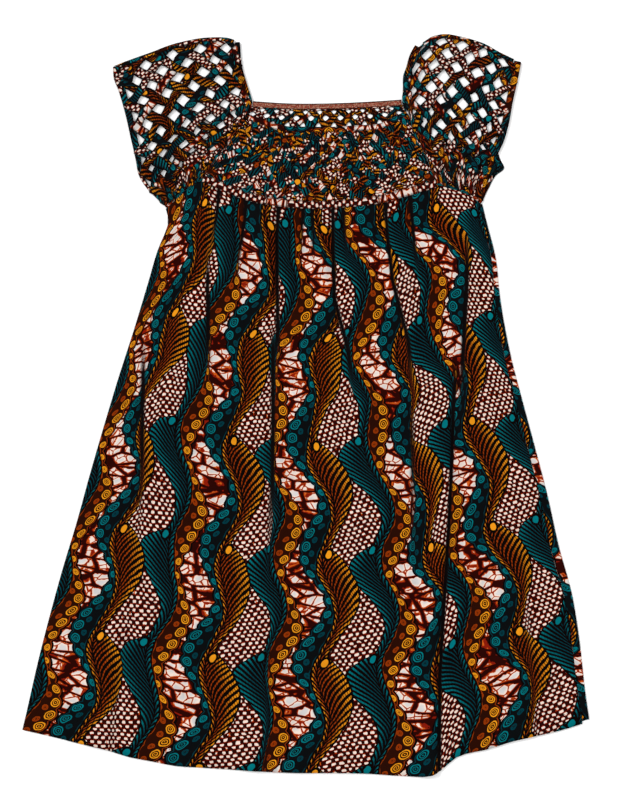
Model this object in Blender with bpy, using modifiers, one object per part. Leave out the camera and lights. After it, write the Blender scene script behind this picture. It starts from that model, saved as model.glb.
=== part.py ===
# African wax-print dress with a woven-strip yoke and cap sleeves, laid flat with its front up.
# Row frame: +Z up from the floor, +Y towards the neck, +X to the right of the photograph.
# The origin is at the middle of the base. All tables are in millimetres in that frame.

import math

import bmesh
import bpy
import numpy as np

COLLECTION = "african_dress"
MM = 0.001

# Walls, heights and clearances
PANEL_WALL = 1.0
LATTICE_WALL = 1.2
CROSSING_RELIEF = 0.6
WEAVE_RELIEF = 0.8
BINDING_WALL = 1.6
ARMHOLE_WALL = 1.2
ARMHOLE_HEIGHT = 2.9
FRONT_PANEL_REST = 1.4
FRONT_LATTICE_REST = 2.1
FOLD_REST = 1.5
BAND_REST = 2.0
SEAM_GAP = 0.5
CUFF_GAP = 0.8
END_TRIM = 3.0
NECK_CORNER_TRIM = 5.0
BACK_CORNER_TRIM = 1.5
CUFF_TRIM = 4.0
NECK_BAND_TRIM = 1.0

# Where a margin changes beside a corner, as fractions of the seam before and after it
CORNER_EASE = (0.01, 0.03)
SHOULDER_EASE = (0.02, 0.09)
ROLL_RADIUS = 1.2
BACK_HEM_INSET = 3.0
BACK_SIDE_INSET = 0.5

# Widths of the narrow pieces
NECK_SIDE_WIDTH = 6.5
NECK_FRONT_WIDTH = 7.0
NECK_BACK_WIDTH = 8.0
YOKE_BAND_WIDTH = 10.4
ARMHOLE_WIDTH = 4.0

# Grids: columns and rows of each kind of wall
BODY_ROWS = 17
ROW_CROWDING = 1.35
FRONT_COLUMNS = 62
BACK_COLUMNS = 12
ROLL_COLUMNS = 5
YOKE_GRID = (38, 12)
BAND_COLUMNS = 30
CUFF_STATIONS = 16
ARMHOLE_STATIONS = 8
NECK_STATIONS = 14
TURN_STEPS = 4
CURVE_POINTS = 60

# Holes of the lattice, as half diagonals in grid cells
SLEEVE_HOLE = 0.57
SHOULDER_NOTCH = 0.24
YOKE_HOLE = 0.52
SMALLEST_HOLE = 0.12

# Outline and seams: x, y
SHOULDER_LEFT = (
    (-86, 473), (-101, 478), (-122, 479), (-153, 475), (-185, 466), (-200, 460), (-231, 449), (-251, 441),
)
NECK_SIDE_LEFT = ((-86, 473), (-83, 441), (-79, 426), (-74, 410), (-70, 396))
CUFF_LEFT = (
    (-251, 441), (-250, 426), (-244, 410), (-235, 379), (-228, 348), (-221, 317), (-218, 301),
    (-209, 285), (-195, 270), (-183, 258),
)
SHOULDER_RIGHT = (
    (142, 469), (153, 473), (164, 480), (179, 483), (205, 479), (231, 471), (255, 458), (270, 451), (280, 447),
)
NECK_SIDE_RIGHT = ((142, 469), (135, 456), (130, 439), (127, 431), (126, 410), (125, 398))
CUFF_RIGHT_FRONT = (
    (280, 447), (276, 426), (269, 395), (263, 363), (257, 343), (250, 328), (242, 311), (235, 290), (229, 264),
)
CUFF_RIGHT_BACK = (
    (280, 447), (276, 426), (269, 395), (262, 363), (255, 344), (250, 331), (253, 320), (258, 309), (247, 299),
    (238, 283), (229, 264),
)
RAGLAN_LEFT = ((-75, 375), (-105, 335), (-134, 296))
RAGLAN_RIGHT = ((129, 379), (150, 335), (170, 289))
RAGLAN_BACK_LEFT = ((-70, 396), (-104, 340), (-134, 296))
RAGLAN_BACK_RIGHT = ((125, 398), (150, 338), (170, 289))
YOKE_SEAM = (
    (-134, 296), (-105, 283), (-73, 271), (-34, 264), (5, 261), (51, 263), (90, 267), (129, 277), (170, 289),
)
NECK_FRONT = (
    (-75, 375), (-57, 369), (-38, 362), (6, 359), (38, 359), (66, 361), (95, 363), (114, 371), (129, 379),
)
NECK_BACK = ((-70, 396), (-21, 393), (27, 393), (77, 395), (125, 398))
ARMHOLE_LEFT = ((-134, 296), (-159, 279), (-183, 258))
ARMHOLE_RIGHT = ((170, 289), (198, 281), (213, 275), (229, 264))
SIDE_LEFT = (
    (-183, 258), (-179, 239), (-184, 223), (-191, 207), (-205, 161), (-224, 98), (-244, 36), (-263, -27),
    (-281, -89), (-298, -151), (-317, -214), (-334, -276), (-350, -339), (-364, -401), (-369, -422),
)
SIDE_RIGHT = (
    (229, 264), (235, 239), (247, 192), (252, 145), (266, 67), (282, 5), (299, -58), (315, -120),
    (329, -183), (346, -245), (356, -307), (363, -370), (369, -411),
)
HEM = (
    (-369, -422), (-325, -432), (-294, -440), (-263, -447), (-231, -457), (-200, -463), (-169, -469),
    (-138, -471), (-75, -475), (-13, -478), (34, -478), (81, -479), (127, -482), (159, -482), (169, -479),
    (182, -469), (195, -458), (205, -454), (237, -447), (268, -437), (299, -430), (330, -423), (369, -411),
)

# Widths that change along a piece: fraction of the way, millimetres
CUFF_WIDTHS = ((0.0, 9.0), (0.55, 8.5), (0.8, 5.0), (1.0, 4.0))
SIDE_ROLL = ((0.0, 8.0), (0.3, 10.0), (0.7, 7.0), (0.93, 4.0), (1.0, 3.0))

# Hole size down a sleeve, as a share of the full hole: fraction from the shoulder, share
SLEEVE_HOLE_FADE = ((0.0, 1.0), (0.58, 1.0), (0.66, 0.85), (0.74, 0.7), (0.82, 0.5), (0.86, 0.0), (1.0, 0.0))

# The close corner of a sleeve's lattice by the raglan seam: where it starts down the sleeve, how
# much wider it grows for each unit down, and the width of its soft border
CLOSE_CORNER = (0.5, 0.9, 0.12)

# Where holes open onto the cuff: from this fraction down the sleeve
CUFF_HOLES_FROM = 0.18

# Lines of the sleeve lattices, uneven as woven: fractions from neck to cuff, fractions from
# shoulder to armhole, and whether holes lie where the two line numbers have an even or odd sum
LATTICE_LEFT = (
    (0.0, 0.07, 0.185, 0.302, 0.42, 0.536, 0.653, 0.77, 0.887, 1.0),
    (0.0, 0.066, 0.14, 0.208, 0.284, 0.356, 0.433, 0.516, 0.59, 0.66, 0.735, 0.8, 0.87, 1.0),
    0,
)
LATTICE_RIGHT = (
    (0.0, 0.045, 0.137, 0.242, 0.348, 0.455, 0.562, 0.669, 0.79, 0.885, 1.0),
    (0.0, 0.052, 0.122, 0.197, 0.27, 0.347, 0.42, 0.5, 0.58, 0.655, 0.73, 0.8, 0.87, 1.0),
    0,
)

# Rows of the back yoke, as fractions from the yoke band up, closer where the lattice is open
BACK_YOKE_COLUMNS = 22
BACK_YOKE_ROWS = (0.0, 0.22, 0.44, 0.62, 0.72, 0.81, 0.9, 0.97, 1.0)
BACK_YOKE_OPEN_ROWS = (5, 6, 7)

# Gathers under the yoke band: x at the band, half width, height, length, drift of x on the way down
GATHERS = (
    (-124, 7, 2.4, 95, -10),
    (-97, 10, 3.8, 150, -10),
    (-58, 12, 4.4, 180, -4),
    (-21, 10, 3.6, 140, -2),
    (1, 5, 2.8, 90, 0),
    (21, 9, 4.2, 165, 4),
    (42, 5, 3.0, 110, 5),
    (62, 7, 3.4, 130, 6),
    (87, 10, 4.4, 190, 10),
    (120, 9, 4.0, 160, 14),
    (148, 7, 2.6, 110, 16),
)

# Long folds: half width to the left, half width to the right, height, then x, y down the fold
FOLDS = (
    (12, 8, 3.2, (-50, 256), (-49, 200), (-47, 140)),
    (14, 8, 3.4, (20, 225), (27, 140), (45, 70)),
    (9, 14, 3.8, (98, 220), (118, 164), (127, 140), (146, 85)),
    (13, 9, 3.4, (201, 150), (195, 103), (192, 67), (191, -5)),
    (17, 8, 6.0, (185, 10), (183, -25), (178, -129), (172, -201), (166, -305), (166, -520)),
    (13, 9, 3.2, (-55, 75), (-53, -79), (-58, -175)),
    (15, 11, 3.0, (-225, 55), (-225, -40), (-227, -140)),
    (10, 12, 2.8, (147, -35), (149, -153), (150, -180)),
    (11, 9, 2.6, (-144, 175), (-138, 79), (-136, 60)),
    (16, 20, 2.6, (-60, -260), (-66, -380), (-70, -520)),
    (18, 14, 2.4, (262, -150), (276, -300), (290, -460)),
    (14, 16, 2.2, (-240, -260), (-262, -380), (-275, -480)),
)
FOLD_FADE = 45.0
GATHER_START = 4.0
GATHER_RISE = 16.0
GATHER_SPREAD = 0.9
RIM_COLUMNS = 3.0

# The slow wave of the cloth between its folds: height, and the lengths that set its slant
SWELL = 0.5
SWELL_X = 41.0
SWELL_Y = 95.0
SWELL_RISE = 120.0

COLOURS = {
    "front_panel": (0.24, 0.13, 0.09),
    "back_panel": (0.22, 0.12, 0.09),
    "front_yoke": (0.12, 0.20, 0.20),
    "back_yoke": (0.12, 0.18, 0.18),
    "front_yoke_band": (0.45, 0.30, 0.25),
    "back_yoke_band": (0.40, 0.28, 0.22),
    "neck_front": (0.20, 0.15, 0.14),
    "neck_back": (0.55, 0.45, 0.38),
    "neck_left": (0.06, 0.22, 0.24),
    "neck_right": (0.25, 0.14, 0.08),
    "sleeve_left_front": (0.05, 0.24, 0.27),
    "sleeve_left_back": (0.06, 0.20, 0.22),
    "sleeve_right_front": (0.05, 0.24, 0.27),
    "sleeve_right_back": (0.06, 0.20, 0.22),
    "cuff_left": (0.30, 0.16, 0.08),
    "cuff_right": (0.06, 0.18, 0.20),
    "armhole_left": (0.20, 0.12, 0.09),
    "armhole_right": (0.20, 0.12, 0.09),
}


def smooth_curve(points, count, start=0.0, end=0.0):
    """Evenly spaced points on a smooth curve through a table of points.

    Each span is a cubic whose end slopes are those of the neighbouring points. start and end are
    the lengths left off its two ends.
    """
    points = np.array(points, float)
    chord = np.hypot(*np.diff(points, axis=0).T)
    at = np.concatenate([[0.0], np.cumsum(chord)])
    slope = np.gradient(points, at, axis=0)
    fine = np.linspace(0.0, at[-1], 40 * len(points))
    span = np.clip(np.searchsorted(at, fine, side="right") - 1, 0, len(chord) - 1)
    length = chord[span][:, None]
    f = (fine - at[span])[:, None] / length
    dense = (1 + 2 * f) * (1 - f) ** 2 * points[span] + f * f * (3 - 2 * f) * points[span + 1]
    dense += length * (f * (1 - f) ** 2 * slope[span] + f * f * (f - 1) * slope[span + 1])
    run = arc_lengths(dense)
    return sample(dense, np.linspace(start, run[-1] - end, count) / run[-1])


def arc_lengths(line):
    """Length from the start of a line to each of its points."""
    return np.concatenate([[0.0], np.cumsum(np.hypot(*np.diff(line, axis=0).T))])


def sample(line, fraction):
    """Points at fractions of a line's length."""
    run = arc_lengths(line)
    want = np.asarray(fraction) * run[-1]
    return np.stack([np.interp(want, run, line[:, 0]), np.interp(want, run, line[:, 1])], axis=-1)


def chain(*tables):
    """One long line through several tables that meet end to end, each smooth by itself."""
    lines = [smooth_curve(table, CURVE_POINTS) for table in tables]
    return np.concatenate([lines[0]] + [line[1:] for line in lines[1:]])


def reverse(table):
    """The same table read from its other end."""
    return tuple(reversed(table))


def left_normals(line):
    """Unit vectors square to a line, on its left side."""
    run = np.gradient(line, axis=0)
    run /= np.hypot(run[:, 0], run[:, 1])[:, None]
    return np.stack([-run[:, 1], run[:, 0]], axis=1)


def along(table, fraction):
    """A number, or the value that a table of fraction and value rows gives."""
    if np.isscalar(table):
        return np.full(np.shape(fraction), float(table))
    rows = np.array(table, float)
    return np.interp(fraction, rows[:, 0], rows[:, 1])


def ease(x):
    """0 below 0, 1 above 1, and a smooth step between."""
    x = np.clip(x, 0.0, 1.0)
    return x * x * (3 - 2 * x)


class Patch:
    """The plan of a piece between four lines, less a margin along each.

    low and high run with u, near and far with v. A point is the blend of both pairs of lines less
    the blend of their corners. A margin is a width, or a table of fraction and width.
    """

    def __init__(self, low, high, near, far, margins):
        self.low, self.high, self.near, self.far = low, high, near, far
        self.margins = margins

    def bare(self, u, v):
        """A point of the patch before the margins are taken off."""
        a, b = u[..., None], v[..., None]
        point = (1 - b) * sample(self.low, u) + b * sample(self.high, u)
        point += (1 - a) * sample(self.near, v) + a * sample(self.far, v)
        point -= (1 - a) * (1 - b) * self.low[0] + a * (1 - b) * self.low[-1]
        point -= (1 - a) * b * self.high[0] + a * b * self.high[-1]
        return point

    def reach(self, u, v, across):
        """Millimetres that the patch covers for each unit of u, or of v, square to the other."""
        step = 0.002
        u0, v0 = np.clip(u, step, 1 - step), np.clip(v, step, 1 - step)
        du = (self.bare(u0 + step, v0) - self.bare(u0 - step, v0)) / (2 * step)
        dv = (self.bare(u0, v0 + step) - self.bare(u0, v0 - step)) / (2 * step)
        area = np.abs(du[..., 0] * dv[..., 1] - du[..., 1] * dv[..., 0])
        other = dv if across == "u" else du
        return area / np.hypot(other[..., 0], other[..., 1])

    def at(self, s, t):
        """A point at fractions s and t of what the margins leave."""
        low, high, near, far = self.margins
        zero, one = np.zeros_like(s), np.ones_like(s)
        u0 = along(near, t) / self.reach(zero, t, "u")
        u1 = 1 - along(far, t) / self.reach(one, t, "u")
        v0 = along(low, s) / self.reach(s, zero, "v")
        v1 = 1 - along(high, s) / self.reach(s, one, "v")
        return self.bare(u0 + s * (u1 - u0), v0 + t * (v1 - v0))


def material(name):
    """The cloth of one piece: matt, in the mean colour of its print."""
    made = bpy.data.materials.new(name)
    made.use_nodes = True
    shader = made.node_tree.nodes["Principled BSDF"]
    shader.inputs["Base Color"].default_value = (*COLOURS[name], 1.0)
    shader.inputs["Roughness"].default_value = 0.85
    return made


def cloth(name, columns, rows, place, wall, relief=0.0, raised=None, hole=None, downward=False):
    """A wall of cloth: a grid with its holes cut, moved onto one side of the cloth, then thickened.

    place gives x, y and z for grid positions i and j. raised says which grid points stand proud by
    relief on the far side. hole gives the half diagonal of the hole at a grid point, in cells. The
    wall grows upwards from the grid's first cell, or downwards where the grid is the outer side.
    """
    bm = bmesh.new()
    bmesh.ops.create_grid(bm, x_segments=columns, y_segments=rows, size=0.5)
    for vert in bm.verts:
        vert.co.x = round((vert.co.x + 0.5) * columns)
        vert.co.y = round((vert.co.y + 0.5) * rows)
    if hole:
        cut_holes(bm, hole)
    grid = np.array([vert.co[:2] for vert in bm.verts])
    points = place(grid[:, 0], grid[:, 1]) * MM
    for vert, point in zip(bm.verts, points):
        vert.co = point
    bmesh.ops.remove_doubles(bm, verts=bm.verts, dist=0.00001)
    bm.normal_update()
    bm.faces.ensure_lookup_table()
    if (bm.faces[0].normal.z < 0) != downward:
        bmesh.ops.reverse_faces(bm, faces=bm.faces)
    mesh = bpy.data.meshes.new(name)
    bm.to_mesh(mesh)
    bm.free()
    piece = bpy.data.objects.new(name, mesh)
    piece.data.materials.append(material(name))
    bpy.data.collections[COLLECTION].objects.link(piece)
    thicken = piece.modifiers.new("wall", "SOLIDIFY")
    thicken.thickness = (wall + relief) * MM
    thicken.offset = 1.0
    if raised:
        proud = piece.vertex_groups.new(name="raised")
        chosen = [int(k) for k in np.flatnonzero(raised(grid[:, 0], grid[:, 1]))]
        proud.add(chosen, 1.0, "REPLACE")
        thicken.vertex_group = "raised"
        thicken.thickness_vertex_group = wall / (wall + relief)
    else:
        thicken.use_even_offset = True
    for face in mesh.polygons:
        face.use_smooth = True
    return piece


def cut_holes(bm, hole):
    """Open a diamond at each grid point whose hole is large enough, by bevelling that point."""
    for vert in list(bm.verts):
        size = hole(round(vert.co.x), round(vert.co.y))
        if size > SMALLEST_HOLE:
            made = bmesh.ops.bevel(bm, geom=[vert], offset=size, segments=1, affect="VERTICES")
            bmesh.ops.delete(bm, geom=made["faces"], context="FACES_ONLY")


def crossings(i, j):
    """The grid points where two strips cross: whole numbers with an even sum."""
    whole = (np.abs(i - np.round(i)) < 0.01) & (np.abs(j - np.round(j)) < 0.01)
    return whole & (np.round(i + j) % 2 == 0)


def stack(plan, z):
    """Plan points and heights as x, y and z."""
    return np.concatenate([plan, np.broadcast_to(z, plan.shape[:1])[:, None]], axis=1)


def flat_band(name, table, width, rest, wall, start, end, shift=0.0):
    """A band along a seam line, shift to its left, lying flat at rest."""
    line = smooth_curve(table, BAND_COLUMNS + 1, start, end)
    normals = left_normals(line)

    def place(i, j):
        k = np.round(i).astype(int)
        side = (j - 0.5) * width + shift
        return stack(line[k] + side[:, None] * normals[k], rest)

    return cloth(name, BAND_COLUMNS, 1, place, wall)


def folded_band(name, front, back, widths, inward, height, wall, closed, trims, stations):
    """A band that lies on both layers along their outline and turns over at its far end.

    A closed one turns over at its near end too, so that it is a flattened ring. inward is 1 where
    the cloth is on the left of the outline and -1 where it is on the right. trims are the lengths
    left off: near and far end of the front, near and far end of the back.
    """
    radius = height / 2
    outer = (smooth_curve(front, stations, *trims[:2]), smooth_curve(back, stations, *trims[2:]))
    width = along(widths, np.linspace(0.0, 1.0, stations))[:, None]
    inner = [line + inward * width * left_normals(line) for line in outer]
    paths = []
    for upper, lower in (outer, inner):
        far = turn(upper[-1], lower[-1], upper[-1] - upper[-2], radius)
        path = [stack(upper, height), far, stack(lower[::-1], 0.0)]
        if closed:
            near = turn(upper[0], lower[0], upper[0] - upper[1], radius)
            path += [near[::-1], stack(upper[:1], height)]
        paths.append(np.concatenate(path))

    def place(i, j):
        k = np.round(i).astype(int)
        return np.where(j[:, None] < 0.5, paths[0][k], paths[1][k])

    return cloth(name, len(paths[0]) - 1, 1, place, wall, downward=True)


def turn(upper, lower, ahead, radius):
    """Points of a half circle that leads from above one plan point to the floor at another."""
    share = np.arange(1, TURN_STEPS)[:, None] / TURN_STEPS
    angle = math.pi * share
    plan = (1 - share) * upper + share * lower + radius * np.sin(angle) * ahead / np.hypot(*ahead)
    return stack(plan, radius * (1 + np.cos(angle[:, 0])))


def front_height(x, y, band_y):
    """Height of the front panel's inner side: gathers under the band and the long folds."""
    wave = 1 + np.sin(x / SWELL_X + y / SWELL_Y)
    z = FRONT_PANEL_REST + SWELL * wave * ease((band_y - y) / SWELL_RISE)
    for at, half, height, length, drift in GATHERS:
        down = np.clip((band_y - y) / length, 0.0, 1.0)
        centre = at + drift * down
        grown = half * (1 + GATHER_SPREAD * down)
        rise = ease((band_y - y - GATHER_START) / GATHER_RISE) * (1 - ease(down))
        z += height * rise * np.exp(-(((x - centre) / grown) ** 2))
    for left, right, height, *path in FOLDS:
        path = np.array(path[::-1], float)
        centre = np.interp(y, path[:, 1], path[:, 0])
        side = np.where(x < centre, left, right)
        fade = ease((y - path[0, 1]) / FOLD_FADE) * ease((path[-1, 1] - y) / FOLD_FADE)
        z += height * fade * np.exp(-(((x - centre) / side) ** 2))
    return z


def body_patch(low, near, far):
    """The plan of the body from hem to yoke seam, clear of the band and the armhole bindings."""
    top = chain(reverse(ARMHOLE_LEFT), YOKE_SEAM, ARMHOLE_RIGHT)
    corners = arc_lengths(top)[[CURVE_POINTS - 1, 2 * CURVE_POINTS - 2]] / arc_lengths(top)[-1]
    band = YOKE_BAND_WIDTH / 2 + 2 * SEAM_GAP
    slim = ARMHOLE_WIDTH / 2 + SEAM_GAP
    start, end = CORNER_EASE
    high = (
        (corners[0] - end, slim), (corners[0] - start, band),
        (corners[1] + start, band), (corners[1] + end, slim),
    )
    left, right = chain(reverse(SIDE_LEFT)), chain(reverse(SIDE_RIGHT))
    return Patch(chain(HEM), top, left, right, (low, high, near, far))


def body_row(j):
    """How far up the body each grid row lies: the rows crowd towards the yoke."""
    return 1 - (1 - j / BODY_ROWS) ** ROW_CROWDING


def front_panel():
    """The gathered front of the body."""
    far = tuple((f, roll + ROLL_RADIUS + SEAM_GAP) for f, roll in SIDE_ROLL)
    patch = body_patch(0.0, 0.0, far)
    columns, rows = FRONT_COLUMNS, BODY_ROWS

    def place(i, j):
        t = body_row(j)
        plan = patch.at(i / columns, t)
        edge = patch.at(i / columns, np.ones_like(t))
        z = front_height(plan[:, 0], plan[:, 1], edge[:, 1])
        rim = ease(np.minimum(i, columns - i) / RIM_COLUMNS)
        return stack(plan, FRONT_PANEL_REST + (z - FRONT_PANEL_REST) * rim)

    return cloth("front_panel", columns, rows, place, PANEL_WALL)


def back_panel():
    """The back of the body, flat on the floor, with its right edge rolled over to the front."""
    patch = body_patch(BACK_HEM_INSET, BACK_SIDE_INSET, ROLL_RADIUS)
    flat, turn, rows = BACK_COLUMNS, ROLL_COLUMNS, BODY_ROWS
    columns = flat + turn + 1

    def place(i, j):
        t = body_row(j)
        plan = patch.at(np.clip(i / flat, 0.0, 1.0), t)
        angle = math.pi * np.clip((i - flat) / turn, 0.0, 1.0)
        back = np.clip(i - flat - turn, 0.0, 1.0)
        plan[:, 0] += ROLL_RADIUS * np.sin(angle) - along(SIDE_ROLL, t) * back
        return stack(plan, ROLL_RADIUS * (1 - np.cos(angle)))

    return cloth("back_panel", columns, rows, place, PANEL_WALL)


def sleeve(name, shoulder, near, cuff, armhole, lattice, layer):
    """One layer of a cap sleeve: a lattice of woven strips cut through between them."""
    across, down, parity = lattice
    columns, rows = len(across) - 1, len(down) - 1
    split = arc_lengths(near)[CURVE_POINTS - 1] / arc_lengths(near)[-1]
    bound = NECK_SIDE_WIDTH + SEAM_GAP
    start, end = SHOULDER_EASE
    side = ((0.0, bound), (split + start, bound), (split + end, SEAM_GAP), (1.0, SEAM_GAP))
    cuffs = tuple((f, width + CUFF_GAP) for f, width in CUFF_WIDTHS)
    high = ARMHOLE_WIDTH / 2 + SEAM_GAP
    patch = Patch(chain(shoulder), chain(armhole), near, chain(cuff), (0.0, high, side, cuffs))

    def place(i, j):
        s = np.interp(i, np.arange(columns + 1), across)
        t = np.interp(j, np.arange(rows + 1), down)
        plan = patch.at(s, t)
        if layer == "back":
            return stack(plan, 0.0)
        return stack(plan, FOLD_REST + (FRONT_LATTICE_REST - FOLD_REST) * ease(j))

    def hole(i, j):
        if (i + j) % 2 != parity or i == 0 or j == rows:
            return 0.0
        if i == columns and down[j] < CUFF_HOLES_FROM:
            return 0.0
        if j == 0:
            return SHOULDER_NOTCH
        start, growth, border = CLOSE_CORNER
        clear = ease((across[i] - growth * (down[j] - start)) / border)
        return SLEEVE_HOLE * float(along(SLEEVE_HOLE_FADE, down[j]) * clear)

    def raised(i, j):
        return crossings(i, j + 1 - parity) & (j > 0.5)

    return cloth(name, columns, rows, place, LATTICE_WALL, CROSSING_RELIEF, raised, hole)


def sleeve_layers():
    """The front and back layers of both cap sleeves, bounded by the seams that each one meets."""
    left = NECK_SIDE_LEFT + (RAGLAN_LEFT[0],)
    right = NECK_SIDE_RIGHT + (RAGLAN_RIGHT[0],)
    rows = (
        ("sleeve_left_back", chain(NECK_SIDE_LEFT, RAGLAN_BACK_LEFT), CUFF_LEFT, "back"),
        ("sleeve_left_front", chain(left, RAGLAN_LEFT), CUFF_LEFT, "front"),
        ("sleeve_right_back", chain(NECK_SIDE_RIGHT, RAGLAN_BACK_RIGHT), CUFF_RIGHT_BACK, "back"),
        ("sleeve_right_front", chain(right, RAGLAN_RIGHT), CUFF_RIGHT_FRONT, "front"),
    )
    for name, near, cuff, layer in rows:
        if "left" in name:
            sleeve(name, SHOULDER_LEFT, near, cuff, ARMHOLE_LEFT, LATTICE_LEFT, layer)
        else:
            sleeve(name, SHOULDER_RIGHT, near, cuff, ARMHOLE_RIGHT, LATTICE_RIGHT, layer)


def front_yoke():
    """The close basket weave of the front yoke: raised crossings over a plain inside."""
    columns, rows = YOKE_GRID
    low = YOKE_BAND_WIDTH / 2 + SEAM_GAP
    high = NECK_FRONT_WIDTH / 2 + SEAM_GAP
    sides = (chain(reverse(RAGLAN_LEFT)), chain(reverse(RAGLAN_RIGHT)))
    margins = (low, high, SEAM_GAP, SEAM_GAP)
    patch = Patch(chain(YOKE_SEAM), chain(NECK_FRONT), *sides, margins)

    def place(i, j):
        return stack(patch.at(i / columns, j / rows), FRONT_LATTICE_REST)

    return cloth("front_yoke", columns, rows, place, LATTICE_WALL, WEAVE_RELIEF, crossings)


def back_yoke():
    """The back yoke: woven strips with open diamonds where the neck opening shows them."""
    columns, rows = BACK_YOKE_COLUMNS, len(BACK_YOKE_ROWS) - 1
    low = YOKE_BAND_WIDTH / 2 + SEAM_GAP
    high = NECK_BACK_WIDTH + SEAM_GAP
    sides = (chain(reverse(RAGLAN_BACK_LEFT)), chain(reverse(RAGLAN_BACK_RIGHT)))
    margins = (low, high, SEAM_GAP, SEAM_GAP)
    patch = Patch(chain(YOKE_SEAM), chain(NECK_BACK), *sides, margins)

    def place(i, j):
        t = np.interp(j, np.arange(rows + 1), BACK_YOKE_ROWS)
        return stack(patch.at(i / columns, t), 0.0)

    def hole(i, j):
        inside = 0 < i < columns and j in BACK_YOKE_OPEN_ROWS
        return YOKE_HOLE if inside and (i + j) % 2 else 0.0

    def raised(i, j):
        return crossings(i, j) & (j > BACK_YOKE_OPEN_ROWS[0] - 1.5) & (j < rows - 0.5)

    return cloth("back_yoke", columns, rows, place, LATTICE_WALL, CROSSING_RELIEF, raised, hole)


def bands_and_bindings():
    """The narrow pieces: yoke bands, neck bindings, cuffs and armhole bindings."""
    flat_band("front_yoke_band", YOKE_SEAM, YOKE_BAND_WIDTH, BAND_REST, BINDING_WALL, END_TRIM, END_TRIM)
    flat_band("back_yoke_band", YOKE_SEAM, YOKE_BAND_WIDTH, 0.0, BINDING_WALL, END_TRIM, END_TRIM)
    trim = NECK_BAND_TRIM
    flat_band("neck_front", NECK_FRONT, NECK_FRONT_WIDTH, FRONT_LATTICE_REST, BINDING_WALL, trim, trim)
    flat_band("neck_back", NECK_BACK, NECK_BACK_WIDTH, 0.0, BINDING_WALL, trim, trim, -NECK_BACK_WIDTH / 2)
    height = BAND_REST + BINDING_WALL
    radius = height / 2
    neck = (NECK_CORNER_TRIM, radius, BACK_CORNER_TRIM, radius)
    corner_left = NECK_SIDE_LEFT + (RAGLAN_LEFT[0],)
    corner_right = NECK_SIDE_RIGHT + (RAGLAN_RIGHT[0],)
    sides = (
        ("neck_left", reverse(corner_left), reverse(NECK_SIDE_LEFT), 1),
        ("neck_right", reverse(corner_right), reverse(NECK_SIDE_RIGHT), -1),
    )
    for name, front, back, inward in sides:
        shape = (NECK_SIDE_WIDTH, inward, height, BINDING_WALL, False, neck, NECK_STATIONS)
        folded_band(name, front, back, *shape)
    cuff = (radius, radius + CUFF_TRIM, radius, radius + CUFF_TRIM)
    cuffs = (
        ("cuff_left", CUFF_LEFT, CUFF_LEFT, 1),
        ("cuff_right", CUFF_RIGHT_FRONT, CUFF_RIGHT_BACK, -1),
    )
    for name, front, back, inward in cuffs:
        shape = (CUFF_WIDTHS, inward, height, BINDING_WALL, True, cuff, CUFF_STATIONS)
        folded_band(name, front, back, *shape)
    radius = ARMHOLE_HEIGHT / 2
    arm = (END_TRIM, radius + SEAM_GAP, END_TRIM, radius + SEAM_GAP)
    for name, table, inward in (("armhole_left", ARMHOLE_LEFT, 1), ("armhole_right", ARMHOLE_RIGHT, -1)):
        seam = smooth_curve(table, ARMHOLE_STATIONS)
        edge = seam - inward * ARMHOLE_WIDTH / 2 * left_normals(seam)
        shape = (ARMHOLE_WIDTH, inward, ARMHOLE_HEIGHT, ARMHOLE_WALL, False, arm, ARMHOLE_STATIONS)
        folded_band(name, edge, edge, *shape)


for old in list(bpy.data.objects):
    bpy.data.objects.remove(old)
bpy.context.scene.collection.children.link(bpy.data.collections.new(COLLECTION))

back_panel()
front_panel()
back_yoke()
front_yoke()
sleeve_layers()
bands_and_bindings()
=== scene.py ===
"""African wax-print dress with a woven-strip yoke, laid flat: its cloth, weaves, bindings and stage."""

import math

import bpy
import numpy as np
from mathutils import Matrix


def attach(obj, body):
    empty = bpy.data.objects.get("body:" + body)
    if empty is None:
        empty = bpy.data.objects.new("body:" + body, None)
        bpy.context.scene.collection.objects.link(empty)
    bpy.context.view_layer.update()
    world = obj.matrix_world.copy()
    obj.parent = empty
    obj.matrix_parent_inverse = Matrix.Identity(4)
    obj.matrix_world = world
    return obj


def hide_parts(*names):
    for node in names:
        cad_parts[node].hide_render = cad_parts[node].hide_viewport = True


bl_info = {
    "name": "African Wax Print Dress",
    "version": (1, 0, 0),
    "blender": (4, 5, 0),
    "location": "3D Viewport > Sidebar > Dress",
    "description": "Builds the cloth, weaves, bindings, stitching and stage of a dress laid flat",
    "category": "Object",
}

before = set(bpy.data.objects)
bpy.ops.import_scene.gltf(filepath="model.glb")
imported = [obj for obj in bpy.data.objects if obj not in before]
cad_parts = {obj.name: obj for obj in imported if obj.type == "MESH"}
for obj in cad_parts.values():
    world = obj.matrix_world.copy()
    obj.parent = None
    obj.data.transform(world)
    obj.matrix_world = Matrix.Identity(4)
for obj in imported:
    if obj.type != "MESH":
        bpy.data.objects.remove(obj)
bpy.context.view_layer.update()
MM = 0.001
TAU = 2 * math.pi

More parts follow.
